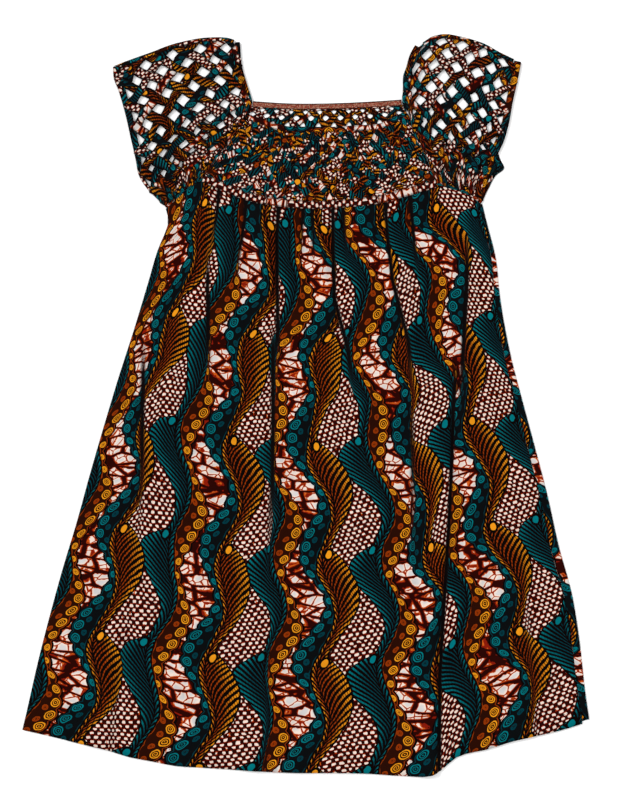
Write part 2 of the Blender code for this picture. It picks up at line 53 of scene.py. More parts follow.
# Heights and clearances of the pieces, in millimetres, as the solids have them
FRONT_PANEL_REST = 1.4
PANEL_WALL = 1.0
FRONT_LATTICE_REST = 2.1
BAND_REST = 2.0
BINDING_WALL = 1.6
BAND_TOP = BAND_REST + BINDING_WALL
NECK_TOP = FRONT_LATTICE_REST + BINDING_WALL
ARMHOLE_WALL = 1.2
ARMHOLE_HEIGHT = 2.9
SEAM_GAP = 0.5
CUFF_GAP = 0.8
END_TRIM = 0.8
NECK_CORNER_TRIM = 5.0
BACK_CORNER_TRIM = 1.5
CUFF_TRIM = 4.0
NECK_BAND_TRIM = 1.0
CORNER_EASE = 0.03
SHOULDER_EASE = (0.02, 0.09)
ROLL_RADIUS = 1.2
BACK_HEM_INSET = 3.0
BACK_SIDE_INSET = 0.5
NECK_SIDE_WIDTH = 6.5
NECK_FRONT_WIDTH = 7.0
NECK_BACK_WIDTH = 8.0
YOKE_BAND_WIDTH = 10.4
ARMHOLE_WIDTH = 4.0
BODY_LAP = 1.0
YOKE_LAP = 1.5
SLEEVE_HOLES = {"left": 0.5, "right": 0.57}

# How finely the lines and the body are divided
CURVE_POINTS = 60
CURVE_STEPS = 40
BODY_GRID = (300, 150)
BACK_GRID = (110, 12, 4, 100)
ROW_CROWDING = 1.35
BAND_STATIONS = 120
FOLD_STATIONS = 90

# Cloth of the bands, thinner than their solids, and how far its edges are eased down above and below
CLOTH_SLACK = 0.3
EDGE_EASE = (0.35, 0.2)

# Outline and seams: x, y in millimetres
SHOULDER_LEFT = (
    (-86, 473), (-101, 478), (-122, 479), (-153, 475), (-185, 466), (-200, 460), (-231, 449), (-251, 441),
)
NECK_SIDE_LEFT = ((-86, 473), (-83, 441), (-79, 426), (-74, 410), (-70, 396))
CUFF_LEFT = (
    (-251, 441), (-250, 426), (-244, 410), (-235, 379), (-228, 348), (-221, 317), (-218, 301),
    (-209, 285), (-195, 270), (-183, 258),
)
SHOULDER_RIGHT = (
    (142, 469), (153, 473), (164, 480), (179, 483), (205, 479), (231, 471), (255, 458), (270, 451),
    (280, 447),
)
NECK_SIDE_RIGHT = ((142, 469), (135, 456), (130, 439), (127, 431), (126, 410), (125, 398))
CUFF_RIGHT_FRONT = (
    (280, 447), (276, 426), (269, 395), (263, 363), (257, 343), (250, 328), (242, 311), (235, 290),
    (229, 264),
)
CUFF_RIGHT_BACK = (
    (280, 447), (276, 426), (269, 395), (262, 363), (255, 344), (250, 331), (253, 320), (258, 309),
    (247, 299), (238, 283), (229, 264),
)
RAGLAN_LEFT = ((-75, 375), (-105, 335), (-134, 296))
RAGLAN_RIGHT = ((129, 379), (150, 335), (170, 289))
RAGLAN_BACK_LEFT = ((-70, 396), (-104, 340), (-134, 296))
RAGLAN_BACK_RIGHT = ((125, 398), (150, 338), (170, 289))
YOKE_SEAM = (
    (-134, 296), (-105, 283), (-73, 271), (-34, 264), (5, 261), (51, 263), (90, 267), (129, 277), (170, 289),
)
NECK_FRONT = (
    (-75, 375), (-57, 369), (-38, 362), (6, 359), (38, 359), (66, 361), (95, 363), (114, 371), (129, 379),
)
NECK_EDGE_LEFT = NECK_SIDE_LEFT + (RAGLAN_LEFT[0],)
NECK_EDGE_RIGHT = NECK_SIDE_RIGHT + (RAGLAN_RIGHT[0],)
NECK_BACK = ((-70, 396), (-21, 393), (27, 393), (77, 395), (125, 398))
ARMHOLE_LEFT = ((-134, 296), (-159, 279), (-183, 258))
ARMHOLE_RIGHT = ((170, 289), (198, 281), (213, 275), (229, 264))
SIDE_LEFT = (
    (-183, 258), (-179, 239), (-184, 223), (-191, 207), (-205, 161), (-224, 98), (-244, 36), (-263, -27),
    (-281, -89), (-298, -151), (-317, -214), (-334, -276), (-350, -339), (-364, -401), (-369, -422),
)
SIDE_RIGHT = (
    (229, 264), (235, 239), (247, 192), (252, 145), (266, 67), (282, 5), (299, -58), (315, -120),
    (329, -183), (346, -245), (356, -307), (363, -370), (369, -411),
)
HEM = (
    (-369, -422), (-325, -432), (-294, -440), (-263, -447), (-231, -457), (-200, -463), (-169, -469),
    (-138, -471), (-75, -475), (-13, -478), (34, -478), (81, -479), (127, -482), (159, -482), (169, -479),
    (182, -469), (195, -458), (205, -454), (237, -447), (268, -437), (299, -430), (330, -423), (369, -411),
)

# Widths in millimetres, and the openness of the sleeves, at fractions of a line
CUFF_WIDTHS = ((0.0, 9.0), (0.55, 8.5), (0.8, 5.0), (1.0, 4.0))
SIDE_ROLL = ((0.0, 8.0), (0.3, 10.0), (0.7, 7.0), (0.93, 4.0), (1.0, 3.0))
SLEEVE_HOLE_FADE = ((0.0, 1.0), (0.58, 1.0), (0.66, 0.85), (0.74, 0.7), (0.82, 0.5), (0.86, 0.0), (1.0, 0.0))

# Where the sleeves' lattice is closed: the corner's start, growth and border, and the cuff's first part
CLOSE_CORNER = (0.5, 0.9, 0.12)
CLOSE_TIP = (0.8, 0.08, 0.62, 0.06)
CUFF_HOLES_FROM = 0.18

# Lattice lines across and down, as fractions
LATTICE_LEFT = (
    (0.0, 0.07, 0.185, 0.302, 0.42, 0.536, 0.653, 0.77, 0.887, 1.0),
    (0.0, 0.066, 0.14, 0.208, 0.284, 0.356, 0.433, 0.516, 0.59, 0.66, 0.735, 0.8, 0.87, 1.0),
)
LATTICE_RIGHT = (
    (0.0, 0.045, 0.137, 0.242, 0.348, 0.455, 0.562, 0.669, 0.79, 0.885, 1.0),
    (0.0, 0.052, 0.122, 0.197, 0.27, 0.347, 0.42, 0.5, 0.58, 0.655, 0.73, 0.8, 0.87, 1.0),
)
BACK_YOKE_ROWS = (0.0, 0.22, 0.44, 0.62, 0.72, 0.81, 0.9, 0.97, 1.0)
BACK_YOKE_OPEN_ROWS = (5, 6, 7)
BACK_YOKE_COLUMNS = 22
FRONT_WEAVE = (46, 14)
STRIP_GATHER = 1.3

# Weaves: how far a strip rises or sinks at a crossing, and its thickness
SLEEVE_WEAVE = (0.45, 0.8)
SLEEVE_FILL = (0.35, 0.7)
FRONT_YOKE_WEAVE = (0.4, 0.75)
BACK_YOKE_WEAVE = (0.4, 0.7)
BACK_YOKE_FILL = (0.35, 0.65)
BACK_YOKE_REST = 0.85

# Holes of the sleeves: a strip narrows for those over the first, and the lattice shuts under the second
WIDE_HOLE = 0.28
SHUT_HOLE = 0.12

# Sleeve layers: height, lean at the shoulder fold, height inside the fold's strip, and which side is out
SLEEVE_LAYERS = {
    "back": (0.9, 0.75, 0.75, -1),
    "front": (FRONT_LATTICE_REST + 0.9, -0.85, FRONT_LATTICE_REST + 1.2, 1),
}
FOLD_HEIGHT = 1.75
FOLD_STRIP = (5.2, 0.35)

# Parts of the cloth's width that strips are cut from, in metres: any, or the one with the gold leaves
ANY_CUT = (0.0, 0.6)
GOLD_CUT = (0.075, 0.125)

# Gathers under the yoke band: x at the band, half width, height, length, drift of x on the way down
GATHERS = (
    (-124, 7, 2.4, 95, -10), (-97, 10, 3.8, 150, -10), (-58, 12, 4.4, 180, -4), (-21, 10, 3.6, 140, -2),
    (1, 5, 2.8, 90, 0), (21, 9, 4.2, 165, 4), (42, 5, 3.0, 110, 5), (62, 7, 3.4, 130, 6),
    (87, 10, 4.4, 190, 10), (120, 9, 4.0, 160, 14), (148, 7, 2.6, 110, 16),
)

# Long folds: half width to the left, half width to the right, height, then x, y down the fold
FOLDS = (
    (12, 8, 3.2, (-50, 256), (-49, 200), (-47, 140)),
    (14, 8, 3.4, (20, 225), (27, 140), (45, 70)),
    (9, 14, 3.8, (98, 220), (118, 164), (127, 140), (146, 85)),
    (13, 9, 3.4, (201, 150), (195, 103), (192, 67), (191, -5)),
    (17, 8, 6.0, (185, 10), (183, -25), (178, -129), (172, -201), (166, -305), (166, -520)),
    (13, 9, 3.2, (-55, 75), (-53, -79), (-58, -175)),
    (15, 11, 3.0, (-225, 55), (-225, -40), (-227, -140)),
    (10, 12, 2.8, (147, -35), (149, -153), (150, -180)),
    (11, 9, 2.6, (-144, 175), (-138, 79), (-136, 60)),
    (16, 20, 2.6, (-60, -260), (-66, -380), (-70, -520)),
    (18, 14, 2.4, (262, -150), (276, -300), (290, -460)),
    (14, 16, 2.2, (-240, -260), (-262, -380), (-275, -480)),
)
FOLD_FADE = 45.0

# How gathers start, rise and spread, and the body's swell: height, lengths across and down, and its start
GATHER_START = 4.0
GATHER_RISE = 16.0
GATHER_SPREAD = 0.9
SWELL = (0.5, 41.0, 95.0, 120.0)

# Tucks that swallow cloth: x, y, cloth hidden and half width, from the band or the fold's top down
TUCKS = (
    ((-112, 290, 30, 1.0), (-116, 250, 26, 1.1), (-122, 215, 10, 1.4), (-126, 180, 0, 2)),
    ((-77, 280, 34, 1.0), (-80, 240, 32, 1.2), (-86, 200, 18, 1.4), (-94, 150, 0, 2)),
    ((-35, 275, 34, 1.0), (-38, 220, 46, 1.2), (-37, 140, 44, 1.4), (-37, 60, 10, 2), (-37, 20, 0, 2)),
    ((-3, 275, 26, 0.9), (-5, 235, 20, 1.2), (-6, 185, 0, 2)),
    ((7, 275, 22, 0.9), (8, 230, 16, 1.2), (10, 180, 0, 2)),
    ((35, 275, 30, 1.0), (35, 220, 44, 1.2), (37, 140, 50, 1.4), (55, 70, 34, 2), (62, 0, 0, 3)),
    ((47, 275, 26, 0.9), (50, 230, 18, 1.2), (54, 185, 0, 2)),
    ((102, 280, 34, 1.0), (106, 220, 48, 1.2), (112, 164, 56, 1.4), (133, 85, 36, 2), (140, 0, 0, 3)),
    ((134, 290, 34, 1.0), (139, 230, 28, 1.2), (146, 165, 0, 2)),
    ((210, 235, 0, 2.0), (209, 150, 40, 1.8), (204, 67, 42, 2.0), (201, -5, 8, 3), (200, -30, 0, 3)),
    ((196, 60, 0, 1.4), (192, 5, 40, 1.4), (190, -60, 60, 1.5), (186, -150, 60, 1.5), (180, -250, 52, 1.5),
     (174, -350, 44, 1.5), (173, -500, 36, 1.5)),
    ((-44, 110, 0, 2.0), (-43, 60, 36, 2.0), (-43, -79, 38, 2.0), (-47, -175, 16, 3), (-52, -250, 0, 4)),
    ((-211, 100, 0, 2.0), (-212, 40, 26, 2.0), (-213, -60, 26, 2.0), (-216, -150, 8, 3), (-220, -190, 0, 4)),
    ((138, 20, 0, 2.0), (138, -40, 22, 2.0), (139, -150, 18, 2.5), (142, -220, 0, 4)),
    ((-128, 210, 0, 1.5), (-128, 150, 32, 1.5), (-127, 80, 24, 2.0), (-127, 20, 0, 4)),
    ((-45, -240, 0, 4.0), (-50, -380, 12, 4.0), (-54, -500, 14, 4.0)),
    ((276, -120, 0, 4.0), (289, -300, 10, 4.0), (304, -480, 10, 4.0)),
    ((-226, -230, 0, 4.0), (-246, -380, 8, 4.0), (-258, -480, 8, 4.0)),
)

# Cloth that a deep tuck holds, the height above which tucks start at the band, and the body's flat cloth
DEEP_TUCK = 34.0
BAND_TUCKS_FROM = 260
CLOTH_WIDTH = 790.0
CLOTH_LENGTH = 722.0
BACK_CLOTH_START = 60.0
HEM_DEPTH = 20.0

# The slits under the band, also darkened with painted shade: width, widening for each millimetre of cloth
# held, depth and reach
SLIT = (0.9, 0.085, 3.0, 80.0)

# Where the yoke band is cut, in millimetres of flat cloth: u, v and reach of its dabs and its crackle
BAND_DABS = (118.0, 8.0, 24.0)
BAND_CRACKLE = (207.0, -80.0, 13.0)
BAND_CRACKLE_RUNS = ((88, 114), (233, 283))

# The print, in millimetres of flat cloth: the dabs' pitch and slant, and the cells of veins and cracks
DAB_PITCH = (9.2, 5.1)
DAB_SLANT = (0.98, 0.2)
VEIN_CELLS = (34.0, 13.0)
CRACK_CELLS = (14.0, 11.0)

# The vines: berries and ribs in each repeat, the dark line round all, and how high the bud stands
BERRIES = 8.0
RIBS = 20.0
OUTLINE = 2.4
BUD_CLIMB = 0.94

# How far painted shade darkens strips' and bindings' edges, how much brighter than white the light is, and
# the near-black colour of painted shade in creases
STRIP_EDGE_SHADE = 0.95
BINDING_EDGE_SHADE = 0.5
STUDIO_LIGHT = 1.4
CREASE_SHADE_COLOUR = (0.003, 0.002, 0.002, 1.0)

# Stitches: the gap between two, and how far their rows lie in from an edge and down in the cloth
STITCH_GAP = 0.9
STITCH_INSET = 1.3
CUFF_STITCH_INSET = 1.4
BAND_STITCH_DEPTH = 0.05
SIDE_STITCH_DEPTH = 0.08

# Stage: the floor's half side and depth in metres, its shade, the camera and the lamps with their turns
FLOOR = (6.0, 0.0003, 0.92)
CAMERA_LENS = 103.85
CAMERA_PLACE = (0.0039, 0.00715, 3.004)
LAMPS = (("key", 1.9, 24.0, (0, -48, -35)), ("fill", 0.35, 60.0, (0, 40, 30)))


# Curves and plans

def arc_lengths(line):
    """Length from the start of a line to each of its points."""
    return np.concatenate([[0.0], np.cumsum(np.hypot(*np.diff(line[:, :2], axis=0).T))])


def space_lengths(line):
    """Length from the start of a line in space to each of its points."""
    return np.concatenate([[0.0], np.cumsum(np.linalg.norm(np.diff(line, axis=0), axis=1))])


def sample(line, fraction):
    """Points at fractions of a line's length."""
    run = arc_lengths(line)
    want = np.asarray(fraction) * run[-1]
    return np.stack([np.interp(want, run, line[:, 0]), np.interp(want, run, line[:, 1])], axis=-1)


def smooth_curve(points, count, start=0.0, end=0.0):
    """Evenly spaced points on a smooth line through a table, less its ends.

    Between two points of the table the line is a cubic, and at each it has its neighbours' slope.
    """
    points = np.array(points, float)
    chord = np.hypot(*np.diff(points, axis=0).T)
    at = np.concatenate([[0.0], np.cumsum(chord)])
    slope = np.gradient(points, at, axis=0)
    fine = np.linspace(0.0, at[-1], CURVE_STEPS * len(points))
    span = np.clip(np.searchsorted(at, fine, side="right") - 1, 0, len(chord) - 1)
    length = chord[span][:, None]
    f = (fine - at[span])[:, None] / length
    dense = (1 + 2 * f) * (1 - f) ** 2 * points[span] + f * f * (3 - 2 * f) * points[span + 1]
    dense += length * (f * (1 - f) ** 2 * slope[span] + f * f * (f - 1) * slope[span + 1])
    run = arc_lengths(dense)
    return sample(dense, np.linspace(start, run[-1] - end, count) / run[-1])


def chain(*tables):
    """One long line through several tables that meet end to end, each smooth by itself."""
    lines = [smooth_curve(table, CURVE_POINTS) for table in tables]
    return np.concatenate([lines[0]] + [line[1:] for line in lines[1:]])


def reverse(table):
    """The same table read from its other end."""
    return tuple(reversed(table))


def left_normals(line):
    """Unit vectors square to a line, on its left side."""
    run = np.gradient(line, axis=0)
    run /= np.hypot(run[:, 0], run[:, 1])[:, None]
    return np.stack([-run[:, 1], run[:, 0]], axis=1)


def along(table, fraction):
    """A number, or the value that a table of fraction and value rows gives."""
    if np.isscalar(table):
        return np.full(np.shape(fraction), float(table))
    rows = np.array(table, float)
    return np.interp(fraction, rows[:, 0], rows[:, 1])


def ease(x):
    """0 below 0, 1 above 1, and a smooth step between."""
    x = np.clip(x, 0.0, 1.0)
    return x * x * (3 - 2 * x)


class Patch:
    """The plan of a piece between four lines, less a margin along each: the blend of both pairs of
    lines less the blend of their corners."""

    def __init__(self, low, high, near, far, margins):
        self.low, self.high, self.near, self.far = low, high, near, far
        self.margins = margins

    def bare(self, u, v):
        """A point of the patch before the margins are taken off."""
        a, b = u[..., None], v[..., None]
        point = (1 - b) * sample(self.low, u) + b * sample(self.high, u)
        point += (1 - a) * sample(self.near, v) + a * sample(self.far, v)
        point -= (1 - a) * (1 - b) * self.low[0] + a * (1 - b) * self.low[-1]
        point -= (1 - a) * b * self.high[0] + a * b * self.high[-1]
        return point

    def reach(self, u, v, across):
        """Millimetres that the patch covers for each unit of u, or of v, square to the other."""
        step = 0.002
        u0, v0 = np.clip(u, step, 1 - step), np.clip(v, step, 1 - step)
        du = (self.bare(u0 + step, v0) - self.bare(u0 - step, v0)) / (2 * step)
        dv = (self.bare(u0, v0 + step) - self.bare(u0, v0 - step)) / (2 * step)
        area = np.abs(du[..., 0] * dv[..., 1] - du[..., 1] * dv[..., 0])
        other = dv if across == "u" else du
        return area / np.hypot(other[..., 0], other[..., 1])

    def at(self, s, t):
        """A point at fractions s and t of what the margins leave."""
        low, high, near, far = self.margins
        zero, one = np.zeros_like(s), np.ones_like(s)
        u0 = along(near, t) / self.reach(zero, t, "u")
        u1 = 1 - along(far, t) / self.reach(one, t, "u")
        v0 = along(low, s) / self.reach(s, zero, "v")
        v1 = 1 - along(high, s) / self.reach(s, one, "v")
        return self.bare(np.clip(u0 + s * (u1 - u0), 0, 1), np.clip(v0 + t * (v1 - v0), 0, 1))


# Meshes

def lift(plan, z):
    """Plan points and heights as points in space."""
    return np.concatenate([plan, np.broadcast_to(z, plan.shape[:-1])[..., None]], axis=-1)


def facing(grid, closed=False):
    """Unit normals of a grid of points: the cross product of its two directions of travel."""
    if closed:
        wide = np.concatenate([grid[-2:-1], grid, grid[1:2]])
        down = np.gradient(wide, axis=0)[1:-1]
    else:
        down = np.gradient(grid, axis=0)
    cross = np.cross(down, np.gradient(grid, axis=1))
    return cross / np.maximum(np.linalg.norm(cross, axis=-1, keepdims=True), 1e-9)


def quads(*corners):
    """Faces of four corners, from four arrays of point numbers."""
    return np.stack(corners, axis=-1).reshape(-1, 4)


def inside_out(points, faces):
    """Whether the faces of a closed form look inwards: the volume inside them is below zero."""
    a, b, c, d = (points[faces[:, k]] for k in range(4))
    return (a * np.cross(b, c)).sum() + (a * np.cross(c, d)).sum() < 0


def cloth_map(u, v, crease_shade=0.0, across=0.0):
    """What a wall wants at each grid point, from numbers or grids that fill each other out."""
    return np.stack(np.broadcast_arrays(u, v, crease_shade, across), axis=-1)


def wall(outer, inner, cloth, closed=False):
    """A closed wall between two grids of points: both sides and a rim along the open borders.

    cloth holds, at each grid point, the flat cloth's u and v in metres, how much painted shade darkens it
    in creases, and the place across the strip. A closed wall's last row is its first one again.
    """
    rows, columns = outer.shape[:2]
    kept = rows - 1 if closed else rows
    point = np.arange(kept * columns).reshape(kept, columns)
    if closed:
        point = np.concatenate([point, point[:1]])
    spot = np.arange(rows * columns).reshape(rows, columns)
    corners = []
    for grid, other in ((point, point + kept * columns), (spot, spot)):
        found = [
            quads(grid[:-1, :-1], grid[1:, :-1], grid[1:, 1:], grid[:-1, 1:]),
            quads(other[:-1, 1:], other[1:, 1:], other[1:, :-1], other[:-1, :-1]),
            quads(grid[1:, 0], grid[:-1, 0], other[:-1, 0], other[1:, 0]),
            quads(grid[:-1, -1], grid[1:, -1], other[1:, -1], other[:-1, -1]),
        ]
        if not closed:
            found.append(quads(grid[0, :-1], grid[0, 1:], other[0, 1:], other[0, :-1]))
            found.append(quads(grid[-1, 1:], grid[-1, :-1], other[-1, :-1], other[-1, 1:]))
        corners.append(np.concatenate(found))
    points = np.concatenate([outer[:kept].reshape(-1, 3), inner[:kept].reshape(-1, 3)])
    faces, spots = corners
    if inside_out(points, faces):
        faces, spots = faces[:, ::-1], spots[:, ::-1]
    return points, faces, cloth.reshape(-1, 4)[spots]


def piece(name, walls, shade_and_finish, node=None):
    """One object from several walls, with their cloth places as the first map, and their painted shade and
    place across a strip as the second.
    """
    starts = np.cumsum([0] + [len(points) for points, _, _ in walls[:-1]])
    points = np.concatenate([points for points, _, _ in walls]) * MM
    faces = np.concatenate([faces + start for (_, faces, _), start in zip(walls, starts)])
    corners = np.concatenate([corners for _, _, corners in walls]).reshape(-1, 4)
    mesh = bpy.data.meshes.new(name)
    mesh.from_pydata(points.tolist(), [], faces.tolist())
    mesh.polygons.foreach_set("use_smooth", np.ones(len(faces), bool))
    # the second map carries painted shade and the place across a strip
    for layer, first in (("Cloth", 0), ("PaintedShade", 2)):
        made = mesh.uv_layers.new(name=layer)
        made.data.foreach_set("uv", corners[:, first:first + 2].astype(np.float32).ravel())
    mesh.materials.append(shade_and_finish)
    mesh.update()
    made = bpy.data.objects.new(name, mesh)
    bpy.context.scene.collection.objects.link(made)
    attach(made, "root")
    if node:
        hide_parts(node)
    return made


# Shader expressions

def maths_node(operation):
    """A method that adds a Math node, with its own value and any other one as the inputs."""
    def method(self, *other):
        return self.sheet.maths(operation, self, *other)
    return method


class Value:
    """A number in a material's nodes. Python's operators add the Math nodes that work it out."""

    __add__ = __radd__ = maths_node("ADD")
    __mul__ = __rmul__ = maths_node("MULTIPLY")
    __sub__ = maths_node("SUBTRACT")
    __truediv__ = maths_node("DIVIDE")
    __pow__ = maths_node("POWER")
    __abs__ = maths_node("ABSOLUTE")
    __lt__ = maths_node("LESS_THAN")
    __gt__ = maths_node("GREATER_THAN")
    at_least = maths_node("MAXIMUM")
    at_most = maths_node("MINIMUM")
    fraction = maths_node("FRACT")
    floor = maths_node("FLOOR")
    sine = maths_node("SINE")
    root = maths_node("SQRT")

    def __init__(self, sheet, socket):
        self.sheet, self.socket = sheet, socket

    def __rsub__(self, other):
        return self.sheet.maths("SUBTRACT", other, self)

    def centred(self):
        """The distance to the nearest whole number, with its sign."""
        return (self + 0.5).fraction() - 0.5

    def smooth(self, low, high):
        """0 at low, 1 at high, and a smooth step between."""
        settings = {"interpolation_type": "SMOOTHSTEP", "clamp": True}
        values = {"Value": self, "From Min": low, "From Max": high}
        return self.sheet.value("ShaderNodeMapRange", settings, values, "Result")


class Sheet:
    """The nodes of one cloth's material."""

    def __init__(self, name):
        self.made = bpy.data.materials.new(name)
        self.made.use_nodes = True
        self.nodes = self.made.node_tree.nodes
        self.links = self.made.node_tree.links
        self.shader = self.nodes["Principled BSDF"]

    def node(self, kind, settings, values):
        """A node of any kind: its settings first, then its sockets' numbers, colours or links."""
        made = self.nodes.new(kind)
        for key, setting in settings.items():
            setattr(made, key, setting)
        for key, given in values.items():
            if isinstance(given, Value):
                self.links.new(given.socket, made.inputs[key])
            else:
                made.inputs[key].default_value = given
        return made

    def value(self, kind, settings, values, output=0):
        """One output of a node of any kind."""
        return Value(self, self.node(kind, settings, values).outputs[output])

    def maths(self, operation, *values):
        return self.value("ShaderNodeMath", {"operation": operation}, dict(enumerate(values)))

    def mix(self, factor, low, high):
        """The colour low where factor is 0 and high where it is 1."""
        values = {0: factor, 6: low, 7: high}
        return self.value("ShaderNodeMix", {"data_type": "RGBA"}, values, 2)

    def uv(self, name):
        """Both numbers of one of the piece's own maps."""
        place = self.value("ShaderNodeUVMap", {"uv_map": name}, {})
        parts = self.node("ShaderNodeSeparateXYZ", {}, {0: place})
        return Value(self, parts.outputs[0]), Value(self, parts.outputs[1])

    def join(self, x, y):
        """A place from two numbers."""
        return self.value("ShaderNodeCombineXYZ", {}, {0: x, 1: y})

    def noise(self, place, scale, detail=2.0):
        """Soft noise from 0 to 1."""
        values = {"Vector": place, "Scale": scale, "Detail": detail}
        return self.value("ShaderNodeTexNoise", {}, values, 0)


def checks(sheet, x, y, uneven, colours):
    """Rows of short pale dabs, dark ones between them, and a red-brown gap round both."""
    drift = sheet.noise(sheet.join(x / 26.0, y / 26.0), 1.0)
    wide, high = DAB_PITCH
    c, s = DAB_SLANT
    across = (c * x + s * y) / wide + 1.1 * drift
    up = (c * y - s * x) / high + 1.1 * drift
    side = abs((across + 0.5 * up.floor()).centred()) * 2
    height = abs(up.fraction() - 0.5) * 2
    flat = height * height
    square = side * side
    pale = square * square * 9.0 + flat * flat * 6.0 + 1.6 * uneven
    dark = (1 - side) * (1 - side) * 1.9 + flat * 0.45 - uneven
    ground = sheet.mix(pale < 1.25, colours["maroon"], colours["orange"])
    ground = sheet.mix(dark < 1, ground, colours["maroon_deep"])
    return sheet.mix(pale < 0.58, ground, colours["pale"])


def cracks(sheet, x, y, size, uneven):
    """The distance to the edge of uneven cells of that size, in millimetres."""
    wide, high = size
    place = sheet.join(x / wide, y / high)
    settings = {"feature": "DISTANCE_TO_EDGE"}
    edge = sheet.value("ShaderNodeTexVoronoi", settings, {"Vector": place, "Scale": 1.0}, "Distance")
    return edge * high + uneven


def crackle(sheet, x, y, uneven, colours):
    """Pale cells with a grey heart: thick dark veins that run across, and thin red-brown cracks."""
    vein = cracks(sheet, x + 0.5 * y, y, VEIN_CELLS, 0.8 * uneven)
    crack = cracks(sheet, x - 0.3 * y, y, CRACK_CELLS, 0.6 * uneven)
    body = sheet.mix(crack.smooth(1.2, 2.8), colours["pale"], colours["grey"])
    for line, half, dye_name in (
        (crack, 0.7, "orange"), (crack, 0.4, "maroon"),
        (vein, 1.7, "orange"), (vein, 1.4, "maroon"), (vein, 0.95, "maroon_deep"),
    ):
        body = sheet.mix(line < half, body, colours[dye_name])
    return body


def rings(sheet, ground, apart, size, colour):
    """Two thin rings and a dot of that size over the ground."""
    ground = sheet.mix(abs(apart - 0.88 * size) < 0.7, ground, colour)
    ground = sheet.mix(abs(apart - 0.46 * size) < 0.5, ground, colour)
    return sheet.mix(apart < 0.12 * size, ground, colour)


def vine(sheet, ground, away, up, turn, colours, pick, ring):
    """Draw one vine over the ground: a ribbed leaf on one side of its stem and berries on the other.

    away is the distance from the stem in millimetres, positive on the leaf's side, and up counts
    repeats. The leaf is broad where the berry band is narrow, so both grounds are pinched into ovals.
    """
    repeat = bpy.context.scene.dress_sizes.repeat_up / MM
    dark, bright, deep = colours["dark"], colours[ring], colours[ring + "_deep"]
    climb = (up + turn).fraction()
    grown = (climb ** 2.1 * math.pi).sine()
    bulge = 0.5 + 0.5 * (climb * TAU + 1.07).sine()
    reach = 7.0 + 34.0 * grown
    back = 3.5 + 4.5 * grown
    side = away > 0
    width = back + (reach - back) * side
    far = abs(away)

    # berry band
    size = 3.6 + 3.0 * bulge
    outer = back + 2 * (5.0 + 12.4 * bulge)
    pitch = repeat / BERRIES
    rise = (up * BERRIES).centred() * pitch
    field = -1.0 * away - outer + 0.055 * rise * rise
    ground = sheet.mix((field < OUTLINE) * (1 - side), ground, dark)
    across = outer - size - 2.6 + away
    drawn = sheet.mix(0.06, dark, deep)
    drawn = rings(sheet, drawn, (across * across + rise * rise).root(), size, bright)
    between = (up * BERRIES + 0.5).centred() * pitch
    across = across - size - 4.2
    drawn = rings(sheet, drawn, (across * across + between * between).root(), 3.6, deep)
    line = abs(field + 1.2) < 0.5
    line = line.at_least(abs(far - back - 2.8 + 0.8 * (up * 50.0).sine()) < 0.5)
    drawn = sheet.mix(line, drawn, deep)
    ground = sheet.mix((field < 0) * (1 - side), ground, drawn)

    # leaf
    ground = sheet.mix(far < width + OUTLINE, ground, dark)
    phase = climb * RIBS - (far / 33.0) ** 0.6 * 5.2
    rib = abs(phase.centred()) * 2
    share = far / width
    leaf = sheet.mix(share.smooth(0.3, 1.15), colours[pick + "_deep"], colours[pick])
    bead = abs((far / 3.4 + 0.5 * (phase + 0.5).floor()).centred()) * 2
    leaf = sheet.mix((bead > 0.72) * (0.9 if pick == "gold" else 0.4), leaf, dark)
    leaf = sheet.mix(rib > 0.25 + 0.2 * share, leaf, dark)
    leaf = sheet.mix(far < 1.0, leaf, dark)
    ground = sheet.mix(far < width, ground, leaf)

    # bud above the leaf
    over = (climb - BUD_CLIMB) * repeat
    aside = away - 8.0
    bud = (aside * aside * 1.4 + over * over).root()
    ground = sheet.mix(bud < 8.4, ground, dark)
    return sheet.mix(abs(bud - 2.6) < 2.4, ground, colours[pick])


def wax_print(sheet, u, v, colours):
    """The print of the flat cloth at u and v metres, as a colour.

    Two vines climb in each repeat. The ground right of the first is crackle, and the rest checks.
    """
    size = bpy.context.scene.dress_sizes
    x, y = u * 1000, v * 1000
    shake = sheet.noise(sheet.join(x / 7.0, y / 7.0), 1.0)
    sway = sheet.noise(sheet.join(x / 60.0, y / 60.0), 1.0)
    uneven = 2.4 * (shake - 0.5)
    x = x + uneven + 9.0 * (sway - 0.5)
    y = y - uneven
    across, up = x / (1000 * size.repeat_across), y / (1000 * size.repeat_up)
    width = 1000 * size.repeat_across
    swing = 0.075 * (up * TAU).sine()
    teal_x = (across - swing).centred() * width
    gold_x = (across - 0.5 - swing).centred() * width
    dabs, cells = (made(sheet, x, y, uneven, colours) for made in (checks, crackle))
    ground = sheet.mix((teal_x > 0) * (gold_x < 0), dabs, cells)
    ground = vine(sheet, ground, -1.0 * teal_x, up, 0.10, colours, "teal", "gold")
    ground = vine(sheet, ground, gold_x, up, 0.14, colours, "gold", "teal")
    mottle = sheet.noise(sheet.join(x / 22.0, y / 22.0), 1.0, 3.0)
    return sheet.mix(0.6 * (mottle - 0.4).at_least(0), ground, colours["dark"])


def palette():
    """The panel's colours, each as a shader wants it."""
    dyes = bpy.context.scene.dress_colours
    return {name: (*getattr(dyes, name), 1.0) for name in DressColours.__annotations__}


